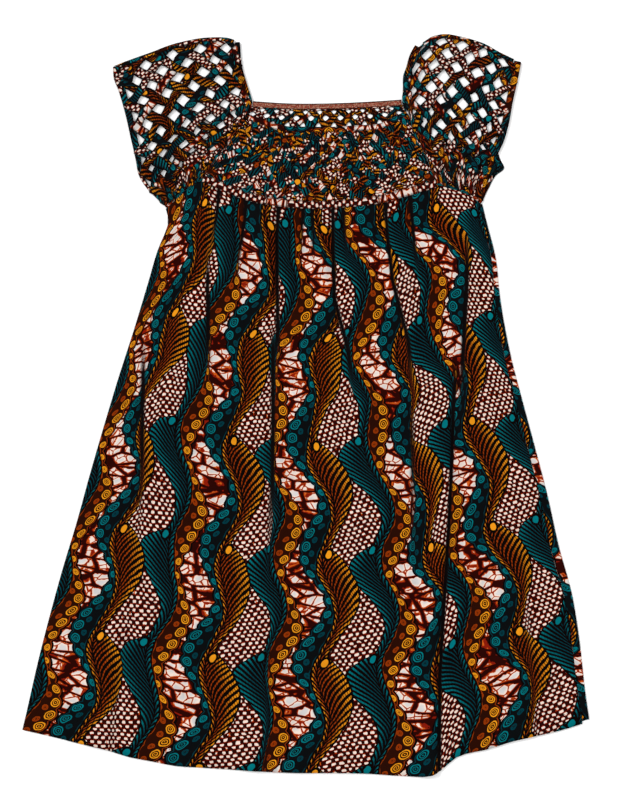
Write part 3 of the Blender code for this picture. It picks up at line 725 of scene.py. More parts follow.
def shade_and_finish(sheet, colour, crease_shade):
    """Cloth's own roughness, painted shade that darkens its creases towards near black, and the fine bump of
    its weave.
    """
    # painted shade: creases are mixed towards near black
    shade = sheet.mix(crease_shade.at_most(1.0), colour, CREASE_SHADE_COLOUR)
    sheet.links.new(shade.socket, sheet.shader.inputs["Base Color"])
    sheet.shader.inputs["Roughness"].default_value = 0.8
    sheet.shader.inputs["Specular IOR Level"].default_value = 0.01
    place = sheet.value("ShaderNodeTexCoord", {}, {}, "Object")
    thread = sheet.noise(place, 900.0, 1.0)
    rumple = sheet.noise(place, 60.0, 2.0)
    height = thread * 0.25 + rumple
    bump = sheet.value("ShaderNodeBump", {}, {"Strength": 0.25, "Distance": 0.002, "Height": height})
    sheet.links.new(bump.socket, sheet.shader.inputs["Normal"])
    return sheet.made


def printed(name, edges=0.0):
    """Printed cloth, darkened with painted shade in its creases and along the long edges of a strip."""
    if name + "_dyed_and_shaded" in bpy.data.materials:
        return bpy.data.materials[name + "_dyed_and_shaded"]
    sheet = Sheet(name + "_dyed_and_shaded")
    u, v = sheet.uv("Cloth")
    crease_shade, across = sheet.uv("PaintedShade")
    colour = wax_print(sheet, u, v, palette())
    # painted shade: the creases' shade plus a darkening of the long edges
    shade = crease_shade + edges * abs(across).smooth(0.35, 1.0)
    return shade_and_finish(sheet, colour, shade)


def plain(name, colour, spread):
    """Undyed or single-coloured cloth with uneven threads, and painted shade along its long edges and in its
    creases.
    """
    if name + "_plain" in bpy.data.materials:
        return bpy.data.materials[name + "_plain"]
    sheet = Sheet(name + "_plain")
    u, v = sheet.uv("Cloth")
    crease_shade, across = sheet.uv("PaintedShade")
    streak = sheet.noise(sheet.join(u * 500, v * 160), 1.0, 3.0)
    fleck = sheet.noise(sheet.join(u * 900, v * 700), 1.0, 1.0)
    body = sheet.mix(streak.smooth(0.42, 0.6), (*colour, 1.0), (*[c * spread for c in colour], 1.0))
    body = sheet.mix(fleck > 0.5, body, palette()["maroon"])
    # painted shade darkens the long edges of the band
    body = sheet.mix(abs(across).smooth(0.4, 1.0), body, palette()["dark"])
    return shade_and_finish(sheet, body, crease_shade)


def dress_piece(node, walls, slot, edges=0.0, kind="cloth"):
    """A piece of printed cloth in place of its solid."""
    return piece(f"{node}_{kind}", walls, printed(slot, edges), node)


# Body

def front_height(x, y, band_y):
    """Height of the front panel's inner side: gathers under the band and the long folds."""
    rise, across, down, start = SWELL
    wave = 1 + np.sin(x / across + y / down)
    z = FRONT_PANEL_REST + rise * wave * ease((band_y - y) / start)
    for at, half, height, length, drift in GATHERS:
        share = np.clip((band_y - y) / length, 0.0, 1.0)
        centre = at + drift * share
        grown = half * (1 + GATHER_SPREAD * share)
        rise = ease((band_y - y - GATHER_START) / GATHER_RISE) * (1 - ease(share))
        z += height * rise * np.exp(-(((x - centre) / grown) ** 2))
    for left, right, height, *path in FOLDS:
        path = np.array(path[::-1], float)
        centre = np.interp(y, path[:, 1], path[:, 0])
        side = np.where(x < centre, left, right)
        fade = ease((y - path[0, 1]) / FOLD_FADE) * ease((path[-1, 1] - y) / FOLD_FADE)
        z += height * fade * np.exp(-(((x - centre) / side) ** 2))
    return z


def tucked(plan, share):
    """A gathered panel's cloth: its u in millimetres, the valleys' depth and the painted shade in creases at
    each point.

    Each tuck adds its hidden cloth in a smooth step as the surface crosses it. What the tucks don't
    hide is spread evenly, so u runs from 0 to the cloth's width along every row.
    """
    x, y = plan[..., 0], plan[..., 1]
    steps, hidden = np.zeros_like(x), np.zeros_like(x)
    depth, crease_shade = np.zeros_like(x), np.zeros_like(x)
    for rows in TUCKS:
        table = np.array(rows[::-1], float)
        centre, held, half = (np.interp(y, table[:, 1], table[:, k]) for k in (0, 2, 3))
        held = np.where((y < table[0, 1]) & (table[0, 2] == 0), 0.0, held)
        held = np.where((y > table[-1, 1]) & (table[-1, 2] == 0), 0.0, held)
        step = 0.5 * (1 + np.tanh((x - centre) / (0.8 * half)))
        near = np.exp(-(((x - centre) / half) ** 2))
        line = np.exp(-(((x - centre) / (0.8 + 1.2 * half)) ** 4))
        steps += held * step
        hidden += held
        full = np.clip(held / DEEP_TUCK, 0.0, 1.3)
        depth += full * near * np.clip(3.4 / half, 0.5, 3.0)
        sharp = np.clip(2.2 / half, 0.1, 1.35)
        # painted shade: a dark line along each tuck, darker for tucks that hold more cloth
        crease_shade = np.maximum(crease_shade, np.clip(1.3 * full, 0.0, 1.0) * line * sharp)
    return share * (CLOTH_WIDTH - hidden) + steps, depth, crease_shade


def body_patch(low, near, far):
    """The plan of the body from hem to yoke seam, clear of the band and the armhole bindings."""
    top = chain(reverse(ARMHOLE_LEFT), YOKE_SEAM, ARMHOLE_RIGHT)
    corners = arc_lengths(top)[[CURVE_POINTS - 1, 2 * CURVE_POINTS - 2]] / arc_lengths(top)[-1]
    band = YOKE_BAND_WIDTH / 2 - BODY_LAP
    slim = ARMHOLE_WIDTH / 2
    high = (
        (corners[0] - 0.002, slim), (corners[0] + CORNER_EASE, band),
        (corners[1] - CORNER_EASE, band), (corners[1] + 0.002, slim),
    )
    left, right = chain(reverse(SIDE_LEFT)), chain(reverse(SIDE_RIGHT))
    return Patch(chain(HEM), top, left, right, (low, high, near, far))


def body_grid(columns, rows):
    """Fractions across and up the body, with the rows closer towards the yoke."""
    s = np.linspace(0.0, 1.0, columns + 1)
    t = 1 - (1 - np.linspace(0.0, 1.0, rows + 1)) ** ROW_CROWDING
    return np.meshgrid(s, t, indexing="ij")


def front_surface(columns, rows):
    """The front panel's plan, its outer height, and its cloth map."""
    far = tuple((f, roll + ROLL_RADIUS + SEAM_GAP) for f, roll in SIDE_ROLL)
    patch = body_patch(0.0, 0.0, far)
    s, t = body_grid(columns, rows)
    plan = patch.at(s, t)
    edge = patch.at(s, np.ones_like(t))
    x, y = plan[..., 0], plan[..., 1]
    u, depth, crease_shade = tucked(plan, s)
    z = front_height(x, y, edge[..., 1]) - FRONT_PANEL_REST
    below = edge[..., 1] - y
    narrow, widening, deep, long = SLIT
    for row in TUCKS:
        _, top, held, _ = row[0]
        if top > BAND_TUCKS_FROM:
            table = np.array(row[::-1], float)
            centre = np.interp(y, table[:, 1], table[:, 0])
            wide = narrow + widening * held * (1 - ease(below / (1.9 * held)))
            gap = np.exp(-(((x - centre) / wide) ** 4)) * (1 - ease(below / long))
            # painted shade darkens the slits as well as their depth
            crease_shade = np.maximum(crease_shade, 1.1 * gap)
            depth = np.maximum(depth, deep * gap)
    z = z * (1.15 + 0.4 * (1 - ease(below / 150.0))) - depth * ease(below / 6.0)
    z += 0.16 * np.sin(x / 9.0 + 2.1 * np.sin(y / 31.0)) * np.sin(y / 23.0 + 1.7 * np.sin(x / 37.0))
    hem = t * CLOTH_LENGTH
    z += 0.35 * (1 - ease((hem - HEM_DEPTH) / 3.0)) * ease(hem / 2.0)
    z += 0.22 * np.sin(x / 3.6) * np.exp(-((hem - HEM_DEPTH) / 7.0) ** 2)
    rim = ease(np.minimum(s, 1 - s) * 45) * 0.9 + 0.1
    z = FRONT_PANEL_REST + PANEL_WALL + np.maximum(z * rim, -0.5)
    return plan, z, cloth_map(u * MM, (t - 1) * CLOTH_LENGTH * MM, crease_shade), hem


class DressPiece:
    """What every operator of the dress shares: it can be undone."""

    bl_options = {"REGISTER", "UNDO"}


class DRESS_OT_front_panel(DressPiece, bpy.types.Operator):
    """Lay the gathered front of the body over the back"""

    bl_idname = "dress.front_panel"
    bl_label = "Front panel"

    def execute(self, context):
        size = context.scene.dress_sizes
        plan, z, cloth, _ = front_surface(*BODY_GRID)
        walls = [wall(lift(plan, z), lift(plan, z - size.cloth_wall / MM), cloth)]
        made = dress_piece("front_panel", walls, "body_print")
        return {"FINISHED"}


class DRESS_OT_back_panel(DressPiece, bpy.types.Operator):
    """Lay the back of the body on the floor and roll its right edge to the front"""

    bl_idname = "dress.back_panel"
    bl_label = "Back panel"

    def execute(self, context):
        size = context.scene.dress_sizes
        patch = body_patch(BACK_HEM_INSET, BACK_SIDE_INSET, ROLL_RADIUS)
        flat, turn, under, rows = BACK_GRID
        steps = np.arange(flat + turn + under + 1)
        i, t = np.meshgrid(steps, body_grid(1, rows)[1][0], indexing="ij")
        s = np.clip(i / flat, 0.0, 1.0)
        plan = patch.at(s, t)
        u, _, crease_shade = tucked(plan, s)
        angle = math.pi * np.clip((i - flat) / turn, 0.0, 1.0)
        back = np.clip((i - flat - turn) / under, 0.0, 1.0)
        roll = along(SIDE_ROLL, t)
        plan[..., 0] += ROLL_RADIUS * np.sin(angle) - roll * back
        outer = lift(plan, ROLL_RADIUS * (1 - np.cos(angle)))
        normal = facing(outer)
        if normal[2, 2, 2] < 0:
            normal = -normal
        inner = outer + normal * size.cloth_wall / MM
        u = u + ROLL_RADIUS * angle + roll * back
        u = u * MM + BACK_CLOTH_START * MM
        # painted shade along the back's tucks, weaker than on the front
        cloth = cloth_map(u, (t - 1) * CLOTH_LENGTH * MM, 0.6 * crease_shade)
        made = dress_piece("back_panel", [wall(outer, inner, cloth)], "body_print")
        return {"FINISHED"}


# Weaves

def strip_wall(centre, left, right, z, thick, cloth_start, seed_turn, extra_shade):
    """One woven strip from its edge lines: a crowned top, a flat underside, and its print gathered."""
    across = np.array([-1.0, -0.72, 0.0, 0.72, 1.0])
    blend = (across * 0.5 + 0.5)[None, :, None]
    plan = left[:, None, :] * (1 - blend) + right[:, None, :] * blend
    crown = thick * (1 - 0.42 * np.abs(across) ** 3)[None, :]
    outer = lift(plan, z[:, None] + crown * 0.5)
    inner = lift(plan, z[:, None] - crown * 0.5)
    run = arc_lengths(centre)[:, None]
    width = np.hypot(*(right - left).T)[:, None] * 0.5 * across[None, :]
    c, s = math.cos(seed_turn), math.sin(seed_turn)
    u = cloth_start[0] + (c * width - s * run) * STRIP_GATHER * MM
    v = cloth_start[1] + (s * width + c * run) * STRIP_GATHER * MM
    # the extra shade is added to the painted shade at every point of the strip
    return wall(outer, inner, cloth_map(u, v, extra_shade, across[None, :]))


def level(value):
    """A function of the grid that gives the same number everywhere."""
    return lambda i, j: value + 0 * i


def strips(place, half, cut, parity, base, weave, runs, dice, per_cell=6, extra_shade=0.0):
    """All strips of a weave as walls: diagonals of a grid whose lines they cross over and under.

    place maps grid positions to the plan, and half gives a strip's width in cells. cut is the part of
    the cloth's width that the strips come from, in metres, base the height of the weave's middle, and
    weave its rise and thickness. runs lists each diagonal: its direction, its number, and where it
    starts and ends. The last argument is added to the strips' painted shade: above zero it darkens them,
    and below zero it takes painted shade off their edges. A strip's height is the base plus or minus a
    rounded square wave that turns at each crossing.
    """
    rise, thick = weave
    made = []
    for direction, number, start, end in runs:
        count = max(3, int(round((end - start) * per_cell)) + 1)
        i = np.linspace(start, end, count)
        j = i - number if direction > 0 else number - i
        width = half(i, j) * (dice.uniform(0.92, 1.1) + 0.05 * np.sin(2.3 * i + number))
        left = place(i - width / 2, j + direction * width / 2)
        right = place(i + width / 2, j - direction * width / 2)
        centre = place(i, j)
        wave = np.sin(0.5 * math.pi * np.cos(math.pi * (i + parity)))
        z = base(i, j) + direction * (rise * wave + 0.3 * parity) + dice.uniform(-0.05, 0.05)
        offset = dice.uniform(*cut), dice.uniform(0, 0.6)
        made.append(strip_wall(centre, left, right, z, thick, offset, dice.uniform(-0.3, 0.3), extra_shade))
    return made


def diagonals(columns, rows, odd, reach=0.3):
    """Every diagonal of a grid with the given parity, as direction, number, start and end."""
    runs = []
    for direction in (1, -1):
        numbers = range(-rows, columns + 1) if direction > 0 else range(0, columns + rows + 1)
        for number in numbers:
            if (number - odd) % 2:
                continue
            low, high = (number, number + rows) if direction > 0 else (number - rows, number)
            start, end = max(low, 0) - reach, min(high, columns) + reach
            if end - start > 2 * reach + 0.4:
                runs.append((direction, number, start, end))
    return runs


def close_runs(columns, rows, odd, closed):
    """The strips that fill a weave's closed places: each diagonal's unbroken runs of closed points."""
    runs = []
    for direction in (1, -1):
        found = {}
        for i in range(columns + 1):
            for j in range(rows + 1):
                if (i + j - odd) % 2 == 0 and closed(i, j):
                    found.setdefault(i - j if direction > 0 else i + j, []).append(i)
        for number, points in found.items():
            points = np.array(points)
            breaks = np.flatnonzero(np.diff(points) > 1) + 1
            runs += [(direction, number, run[0] - 0.52, run[-1] + 0.52) for run in np.split(points, breaks)]
    return runs


def sleeve_patch(shoulder, near, cuff, armhole):
    """The plan of a sleeve layer between shoulder fold, neck and raglan seams, cuff and armhole."""
    split = arc_lengths(near)[CURVE_POINTS - 1] / arc_lengths(near)[-1]
    bound = NECK_SIDE_WIDTH + SEAM_GAP
    start, end = SHOULDER_EASE
    side = ((0.0, bound), (split + start, bound), (split + end, 0.0), (1.0, 0.0))
    cuffs = tuple((f, width + CUFF_GAP) for f, width in CUFF_WIDTHS)
    high = ARMHOLE_WIDTH / 2 + SEAM_GAP
    return Patch(chain(shoulder), chain(armhole), near, chain(cuff), (0.0, high, side, cuffs))


def sleeve_walls(patch, lattice, layer, openness, tip_closed, dice):
    """The strips of one sleeve layer, with an under layer of strips where the lattice is closed."""
    across, down = (np.array(line) for line in lattice)
    columns, rows = len(across) - 1, len(down) - 1

    def extend(value, line):
        count = len(line) - 1
        inside = np.interp(value, np.arange(count + 1), line)
        before = np.minimum(value, 0) * (line[1] - line[0])
        after = np.maximum(value - count, 0) * (line[-1] - line[-2])
        return inside + before + after

    def place(i, j):
        plan = patch.at(extend(i, across), np.maximum(extend(j, down), 0.0))
        loose = ease((j - 0.3) / 0.7)[..., None] * 1.2
        return plan + loose * np.stack([np.sin(2.1 * i + 1.3 * j), np.sin(1.7 * j - 2.3 * i)], axis=-1)

    def hole(i, j):
        s, t = extend(i, across), extend(j, down)
        start, growth, border = CLOSE_CORNER
        clear = ease((s - growth * (t - start)) / border)
        if tip_closed:
            across_from, across_over, down_from, down_over = CLOSE_TIP
            tip = ease((s - across_from) / across_over) * ease((t - down_from) / down_over)
            clear = clear * (1 - tip)
        return openness * along(SLEEVE_HOLE_FADE, t) * clear * (1 + 0.1 * np.sin(4.3 * i + 2.9 * j))

    def half(i, j):
        gap = hole(i, j)
        return np.where(gap > WIDE_HOLE, 1 - gap, 0.52 + 0.7 * gap)

    def base(i, j):
        rest, lean, _, _ = SLEEVE_LAYERS[layer]
        return rest + lean * (1 - ease(j / 0.8))

    runs = diagonals(columns, rows, 1)
    # the sleeves' strips carry a little extra painted shade
    walls = strips(place, half, ANY_CUT, 0, base, SLEEVE_WEAVE, runs, dice, extra_shade=0.04)

    def closed(i, j):
        cuff = i == columns and down[j] < CUFF_HOLES_FROM
        return j > 0 and (hole(float(i), float(j)) < SHUT_HOLE or i == 0 or j == rows or cuff)

    between = close_runs(columns, rows, 0, closed)
    walls += strips(place, level(0.54), ANY_CUT, 0.5, base, SLEEVE_FILL, between, dice)
    return walls + shoulder_edge(patch, layer, dice)


def shoulder_edge(patch, layer, dice):
    """The strip along the shoulder fold, from mid height at the fold to the layer inside it."""
    s = np.linspace(0.0, 1.0, 40)
    fold = patch.at(s, np.zeros_like(s))
    inward = left_normals(fold)
    if inward[20, 1] > 0:
        inward = -inward
    width, half = FOLD_STRIP
    _, _, inside, side = SLEEVE_LAYERS[layer]
    across = np.linspace(0.0, 1.0, 5)[None, :]
    plan = fold[:, None, :] + inward[:, None, :] * width * across[..., None]
    mid = FOLD_HEIGHT + (inside - FOLD_HEIGHT) * np.sin(0.5 * math.pi * across)
    outer, inner = lift(plan, mid + side * half), lift(plan, mid - side * half)
    run = arc_lengths(fold)[:, None] * MM
    start = dice.uniform(0, 0.5, 2)
    cloth = cloth_map(start[0] + run, start[1] + 0.005 * across, 0.0, 2 * across - 1)
    return [wall(outer, inner, cloth)]


class DRESS_OT_sleeves(DressPiece, bpy.types.Operator):
    """Weave the open strip lattices of both cap sleeves, front and back"""

    bl_idname = "dress.sleeves"
    bl_label = "Cap sleeves"

    def execute(self, context):
        dice = np.random.default_rng(11)
        rows = (
            ("sleeve_left_back", SHOULDER_LEFT, chain(NECK_SIDE_LEFT, RAGLAN_BACK_LEFT), CUFF_LEFT,
             ARMHOLE_LEFT, LATTICE_LEFT, "back"),
            ("sleeve_left_front", SHOULDER_LEFT, chain(NECK_EDGE_LEFT, RAGLAN_LEFT), CUFF_LEFT,
             ARMHOLE_LEFT, LATTICE_LEFT, "front"),
            ("sleeve_right_back", SHOULDER_RIGHT, chain(NECK_SIDE_RIGHT, RAGLAN_BACK_RIGHT),
             CUFF_RIGHT_BACK, ARMHOLE_RIGHT, LATTICE_RIGHT, "back"),
            ("sleeve_right_front", SHOULDER_RIGHT, chain(NECK_EDGE_RIGHT, RAGLAN_RIGHT), CUFF_RIGHT_FRONT,
             ARMHOLE_RIGHT, LATTICE_RIGHT, "front"),
        )
        for name, shoulder, near, cuff, armhole, lattice, layer in rows:
            openness = SLEEVE_HOLES[name.split("_")[1]]
            tip_closed = name == "sleeve_right_back"
            patch = sleeve_patch(shoulder, near, cuff, armhole)
            walls = sleeve_walls(patch, lattice, layer, openness, tip_closed, dice)
            made = dress_piece(name, walls, "woven_strips", STRIP_EDGE_SHADE, "strips")
        return {"FINISHED"}


def yoke_patch(raglan_left, raglan_right, neck, neck_width):
    """The plan of a yoke between the band's seam, the neck line and both raglan seams."""
    sides = (chain(reverse(raglan_left)), chain(reverse(raglan_right)))
    margins = (YOKE_BAND_WIDTH / 2 - YOKE_LAP, neck_width - YOKE_LAP, 0.0, 0.0)
    return Patch(chain(YOKE_SEAM), chain(neck), *sides, margins)


class DRESS_OT_yokes(DressPiece, bpy.types.Operator):
    """Weave the close front yoke and the open back yoke"""

    bl_idname = "dress.yokes"
    bl_label = "Yokes"

    def execute(self, context):
        dice = np.random.default_rng(5)
        patch = yoke_patch(RAGLAN_LEFT, RAGLAN_RIGHT, NECK_FRONT, NECK_FRONT_WIDTH / 2)
        columns, rows = FRONT_WEAVE

        def place(i, j):
            return patch.at(np.clip(i / columns, 0.0, 1.0), np.clip(j / rows, 0.0, 1.0))

        # the front yoke's strips carry less painted shade on their edges, so they read lighter
        walls = strips(
            place, level(1.04), ANY_CUT, 0, level(FRONT_LATTICE_REST + 1.0), FRONT_YOKE_WEAVE,
            diagonals(columns, rows, 0, 0.0), dice, per_cell=5, extra_shade=-0.55,
        )
        i, j = np.meshgrid(np.linspace(0, columns, 40), np.linspace(0, rows, 10), indexing="ij")
        plan = place(i, j)
        # painted shade: the sheet seen between the strips is darkened as if in their shadow
        cloth = cloth_map(plan[..., 0] * MM, plan[..., 1] * MM, 0.75)
        under = FRONT_LATTICE_REST + 0.25
        walls.append(wall(lift(plan, under + 0.2), lift(plan, under - 0.2), cloth))
        made = dress_piece("front_yoke", walls, "woven_strips", STRIP_EDGE_SHADE, "strips")

        back = yoke_patch(RAGLAN_BACK_LEFT, RAGLAN_BACK_RIGHT, NECK_BACK, NECK_BACK_WIDTH)
        columns, line = BACK_YOKE_COLUMNS, BACK_YOKE_ROWS
        rows = len(line) - 1

        def place_back(i, j):
            return back.at(np.clip(i / columns, 0.0, 1.0), np.interp(j, np.arange(rows + 1), line))

        def hole_side(i, j):
            return 1 - np.where(abs(j - 6) < 0.6, 0.46, 0.32) * (1 + 0.15 * np.sin(3.1 * i))

        walls = strips(
            place_back, hole_side, GOLD_CUT, 0, level(BACK_YOKE_REST), BACK_YOKE_WEAVE,
            diagonals(columns, rows, 0, 0.0), dice,
        )
        between = close_runs(
            columns, rows, 1, lambda i, j: j not in BACK_YOKE_OPEN_ROWS or i in (0, columns)
        )
        walls += strips(
            place_back, level(0.56), GOLD_CUT, 0.5, level(BACK_YOKE_REST), BACK_YOKE_FILL,
            between, dice, per_cell=5,
        )
        made = dress_piece("back_yoke", walls, "woven_strips", STRIP_EDGE_SHADE, "strips")
        return {"FINISHED"}


# Bands and bindings

def to_and_fro(run, reach):
    """A length folded back and forth between minus and plus reach: a triangle wave of slope one."""
    return reach * 2 / math.pi * np.arcsin(np.sin(0.5 * math.pi * run / reach))


def yoke_band_cut(run):
    """Where in the cloth each point of the yoke band's run is cut: dabs, with two pieces of crackle."""
    u, middle, reach = BAND_DABS
    v = middle + to_and_fro(run, reach)
    u = u + 0 * run
    for low, high in BAND_CRACKLE_RUNS:
        inside = (run > low) & (run < high)
        u = np.where(inside, BAND_CRACKLE[0], u)
        v = np.where(inside, BAND_CRACKLE[1] + to_and_fro(run, BAND_CRACKLE[2]), v)
    return u[:, None] * MM, v[:, None] * MM


def band_wall(plan, top, thick, run, start):
    """A flat band from its plan grid: crowned top, soft edges, print running along it."""
    above, below = EDGE_EASE
    across = np.linspace(-1.0, 1.0, plan.shape[1])[None, :]
    outer = lift(plan, top - above * np.abs(across) ** 4)
    inner = lift(plan, top - thick + below * np.abs(across) ** 4)
    width = arc_lengths(plan[len(plan) // 2])[None, :]
    u, v = start[0] + width * MM, start[1] + run[:, None] * MM
    return wall(outer, inner, cloth_map(u, v, 0.0, across))


def flat_band_plan(table, width, trim, shift, columns=9):
    """The plan grid of a band along a seam line, shift to its left, and its run."""
    line = smooth_curve(table, BAND_STATIONS, trim, trim)
    side = np.linspace(-0.5, 0.5, columns)[None, :, None] * width + shift
    return line[:, None, :] + side * left_normals(line)[:, None, :], arc_lengths(line)


def folded_surface(front, back, widths, inward, height, closed, trims, columns=9, steps=8):
    """The outer side of a band that lies on both layers and turns over at its far end, or at both.

    Along the top it is the outline moved inwards by shares of the width; the turn is a half circle
    from the top to the floor, and the back runs along the floor.
    """
    radius = height / 2
    outer = (smooth_curve(front, FOLD_STATIONS, *trims[:2]), smooth_curve(back, FOLD_STATIONS, *trims[2:]))
    width = along(widths, np.linspace(0.0, 1.0, FOLD_STATIONS))[:, None]
    inner = [line + inward * width * left_normals(line) for line in outer]
    share = np.linspace(0.0, 1.0, columns)[None, :, None]
    upper = outer[0][:, None] * (1 - share) + inner[0][:, None] * share
    lower = outer[1][:, None] * (1 - share) + inner[1][:, None] * share

    def turn(k, ahead):
        part = (np.arange(1, steps) / steps)[:, None, None]
        angle = math.pi * part
        reach = radius * np.sin(angle) * (ahead / np.hypot(*ahead))
        plan = (1 - part) * upper[k][None] + part * lower[k][None] + reach
        return lift(plan, radius * (1 + np.cos(angle[..., 0])) + 0 * plan[..., 0])

    path = [lift(upper, height), turn(-1, outer[0][-1] - outer[0][-2]), lift(lower[::-1], 0.0)]
    if closed:
        path += [turn(0, outer[0][0] - outer[0][1])[::-1], lift(upper[:1], height)]
    return np.concatenate(path)


def folded_wall(surface, thick, closed, start):
    """A wall of that thickness inside a folded band's outer side, its edges eased down."""
    normal = facing(surface, closed)
    if normal[1, 1, 2] < 0:
        normal = -normal
    place = 2 * surface[..., 2] / surface[..., 2].max() - 1
    flat = np.abs(place) > 0.999
    normal[flat] = np.stack([0 * place, 0 * place, np.sign(place)], axis=-1)[flat]
    above, below = EDGE_EASE
    across = np.linspace(-1.0, 1.0, surface.shape[1])[None, :, None]
    outer = surface - normal * above * np.abs(across) ** 4
    inner = surface - normal * (thick - below * np.abs(across) ** 4)
    run = space_lengths(surface[:, surface.shape[1] // 2])[:, None]
    across = across[..., 0]
    u, v = start[0] + 4.0 * (across + 1) * MM, start[1] + run * MM
    return wall(outer, inner, cloth_map(u, v, 0.0, across), closed)


class DRESS_OT_bands(DressPiece, bpy.types.Operator):
    """Lay the yoke bands and the front and back neck bands"""

    bl_idname = "dress.bands"
    bl_label = "Bands"

    def execute(self, context):
        yoke, neck, back = YOKE_BAND_WIDTH, NECK_FRONT_WIDTH, NECK_BACK_WIDTH
        trim, low = NECK_BAND_TRIM, BINDING_WALL
        rows = (
            ("front_yoke_band", YOKE_SEAM, yoke, END_TRIM, 0.0, BAND_TOP, None, "front_panel_cloth"),
            ("back_yoke_band", YOKE_SEAM, yoke, END_TRIM, 0.0, low, (0.10, 0.34), "floor"),
            ("neck_front", NECK_FRONT, neck, trim, 0.0, NECK_TOP, (0.034, 0.05), "front_yoke_strips"),
            ("neck_back", NECK_BACK, back, trim, -back / 2, low, (0.0, 0.0), "floor"),
        )
        for name, table, width, trim, shift, height, start, below in rows:
            plan, run = flat_band_plan(table, width, trim, shift)
            cut = (run, start) if start else (0 * run, yoke_band_cut(run))
            walls = [band_wall(plan, height, BINDING_WALL - CLOTH_SLACK, *cut)]
            if name == "neck_back":
                facing_cloth = plain("neck_facing", context.scene.dress_colours.facing, 0.3)
                made = piece(name + "_cloth", walls, facing_cloth, name)
            else:
                made = dress_piece(name, walls, "binding_print", BINDING_EDGE_SHADE)
        return {"FINISHED"}


class DRESS_OT_bindings(DressPiece, bpy.types.Operator):
    """Fold the bindings of the neck sides, the cuffs and the armholes over both layers"""

    bl_idname = "dress.bindings"
    bl_label = "Bindings"

    def execute(self, context):
        arms = {}
        for side, table, inward in (("left", ARMHOLE_LEFT, 1), ("right", ARMHOLE_RIGHT, -1)):
            seam = smooth_curve(table, 8)
            arms[side] = seam - inward * ARMHOLE_WIDTH / 2 * left_normals(seam)
        radius, slim = BAND_TOP / 2, ARMHOLE_HEIGHT / 2
        neck_trims = (NECK_CORNER_TRIM, radius, BACK_CORNER_TRIM, radius)
        cuff_trims = (radius, radius + CUFF_TRIM) * 2
        arm_trims = (END_TRIM, slim + SEAM_GAP) * 2
        kinds = {
            "neck": (NECK_SIDE_WIDTH, BAND_TOP, False, neck_trims, BINDING_WALL),
            "cuff": (CUFF_WIDTHS, BAND_TOP, True, cuff_trims, BINDING_WALL),
            "armhole": (ARMHOLE_WIDTH, ARMHOLE_HEIGHT, False, arm_trims, ARMHOLE_WALL),
        }
        rows = (
            ("neck", "left", reverse(NECK_EDGE_LEFT), reverse(NECK_SIDE_LEFT), (0.225, 0.05)),
            ("neck", "right", reverse(NECK_EDGE_RIGHT), reverse(NECK_SIDE_RIGHT), (0.07, 0.02)),
            ("cuff", "left", CUFF_LEFT, CUFF_LEFT, (0.148, 0.0)),
            ("cuff", "right", CUFF_RIGHT_FRONT, CUFF_RIGHT_BACK, (0.166, 0.08)),
            ("armhole", "left", arms["left"], arms["left"], (0.2, 0.1)),
            ("armhole", "right", arms["right"], arms["right"], (0.2, 0.1)),
        )
        for kind, side, front, back, start in rows:
            widths, height, closed, trims, thick = kinds[kind]
            inward = 1 if side == "left" else -1
            surface = folded_surface(front, back, widths, inward, height, closed, trims)
            walls = [folded_wall(surface, thick - CLOTH_SLACK, closed, start)]
            made = dress_piece(f"{kind}_{side}", walls, "binding_print", BINDING_EDGE_SHADE)
        return {"FINISHED"}


# Stitching

def stitch_tubes(line, long, gap, thick):
    """Stitches laid end to end along a line of points: each a short thread that dips at both ends."""
    run = space_lengths(line)
    starts = np.arange(gap, run[-1] - long, long + gap)
    share = np.linspace(0.0, 1.0, 5)
    at = starts[:, None] + long * share[None, :]
    middle = np.stack([np.interp(at, run, line[:, k]) for k in range(3)], axis=-1)
    middle[..., 2] += thick * (np.sin(math.pi * share) - 0.35)[None, :]
    ahead = middle[:, -1] - middle[:, 0]
    side = np.stack([-ahead[:, 1], ahead[:, 0], 0 * ahead[:, 0]], axis=-1)
    side /= np.linalg.norm(side, axis=-1, keepdims=True)
    ring = np.array([[1.0, 0.0], [0.0, 1.0], [-1.0, 0.0], [0.0, -1.0]]) * thick / 2
    girth = (0.35 + 0.65 * np.sin(math.pi * share))[None, :, None, None]
    around = ring[None, None, :, :1] * side[:, None, None, :]
    above = ring[None, None, :, 1:] * np.array([0.0, 0.0, 1.0])
    return middle[:, :, None, :] + girth * (around + above)


def stitching(name, tubes, shade_and_finish):
    """One object from many small tubes: four sides along each and a flat cap at either end."""
    count, around, sides = tubes.shape[:3]
    index = np.arange(count * around * sides).reshape(count, around, sides)
    beside = np.roll(index, -1, axis=2)
    skin = quads(index[:, :-1], index[:, 1:], beside[:, 1:], beside[:, :-1])
    faces = np.concatenate([skin, index[:, 0], index[:, -1, ::-1]])
    points = tubes.reshape(-1, 3)
    if inside_out(points, faces):
        faces = faces[:, ::-1]
    return piece(name, [(points, faces, np.zeros((len(faces), 4, 4)))], shade_and_finish)


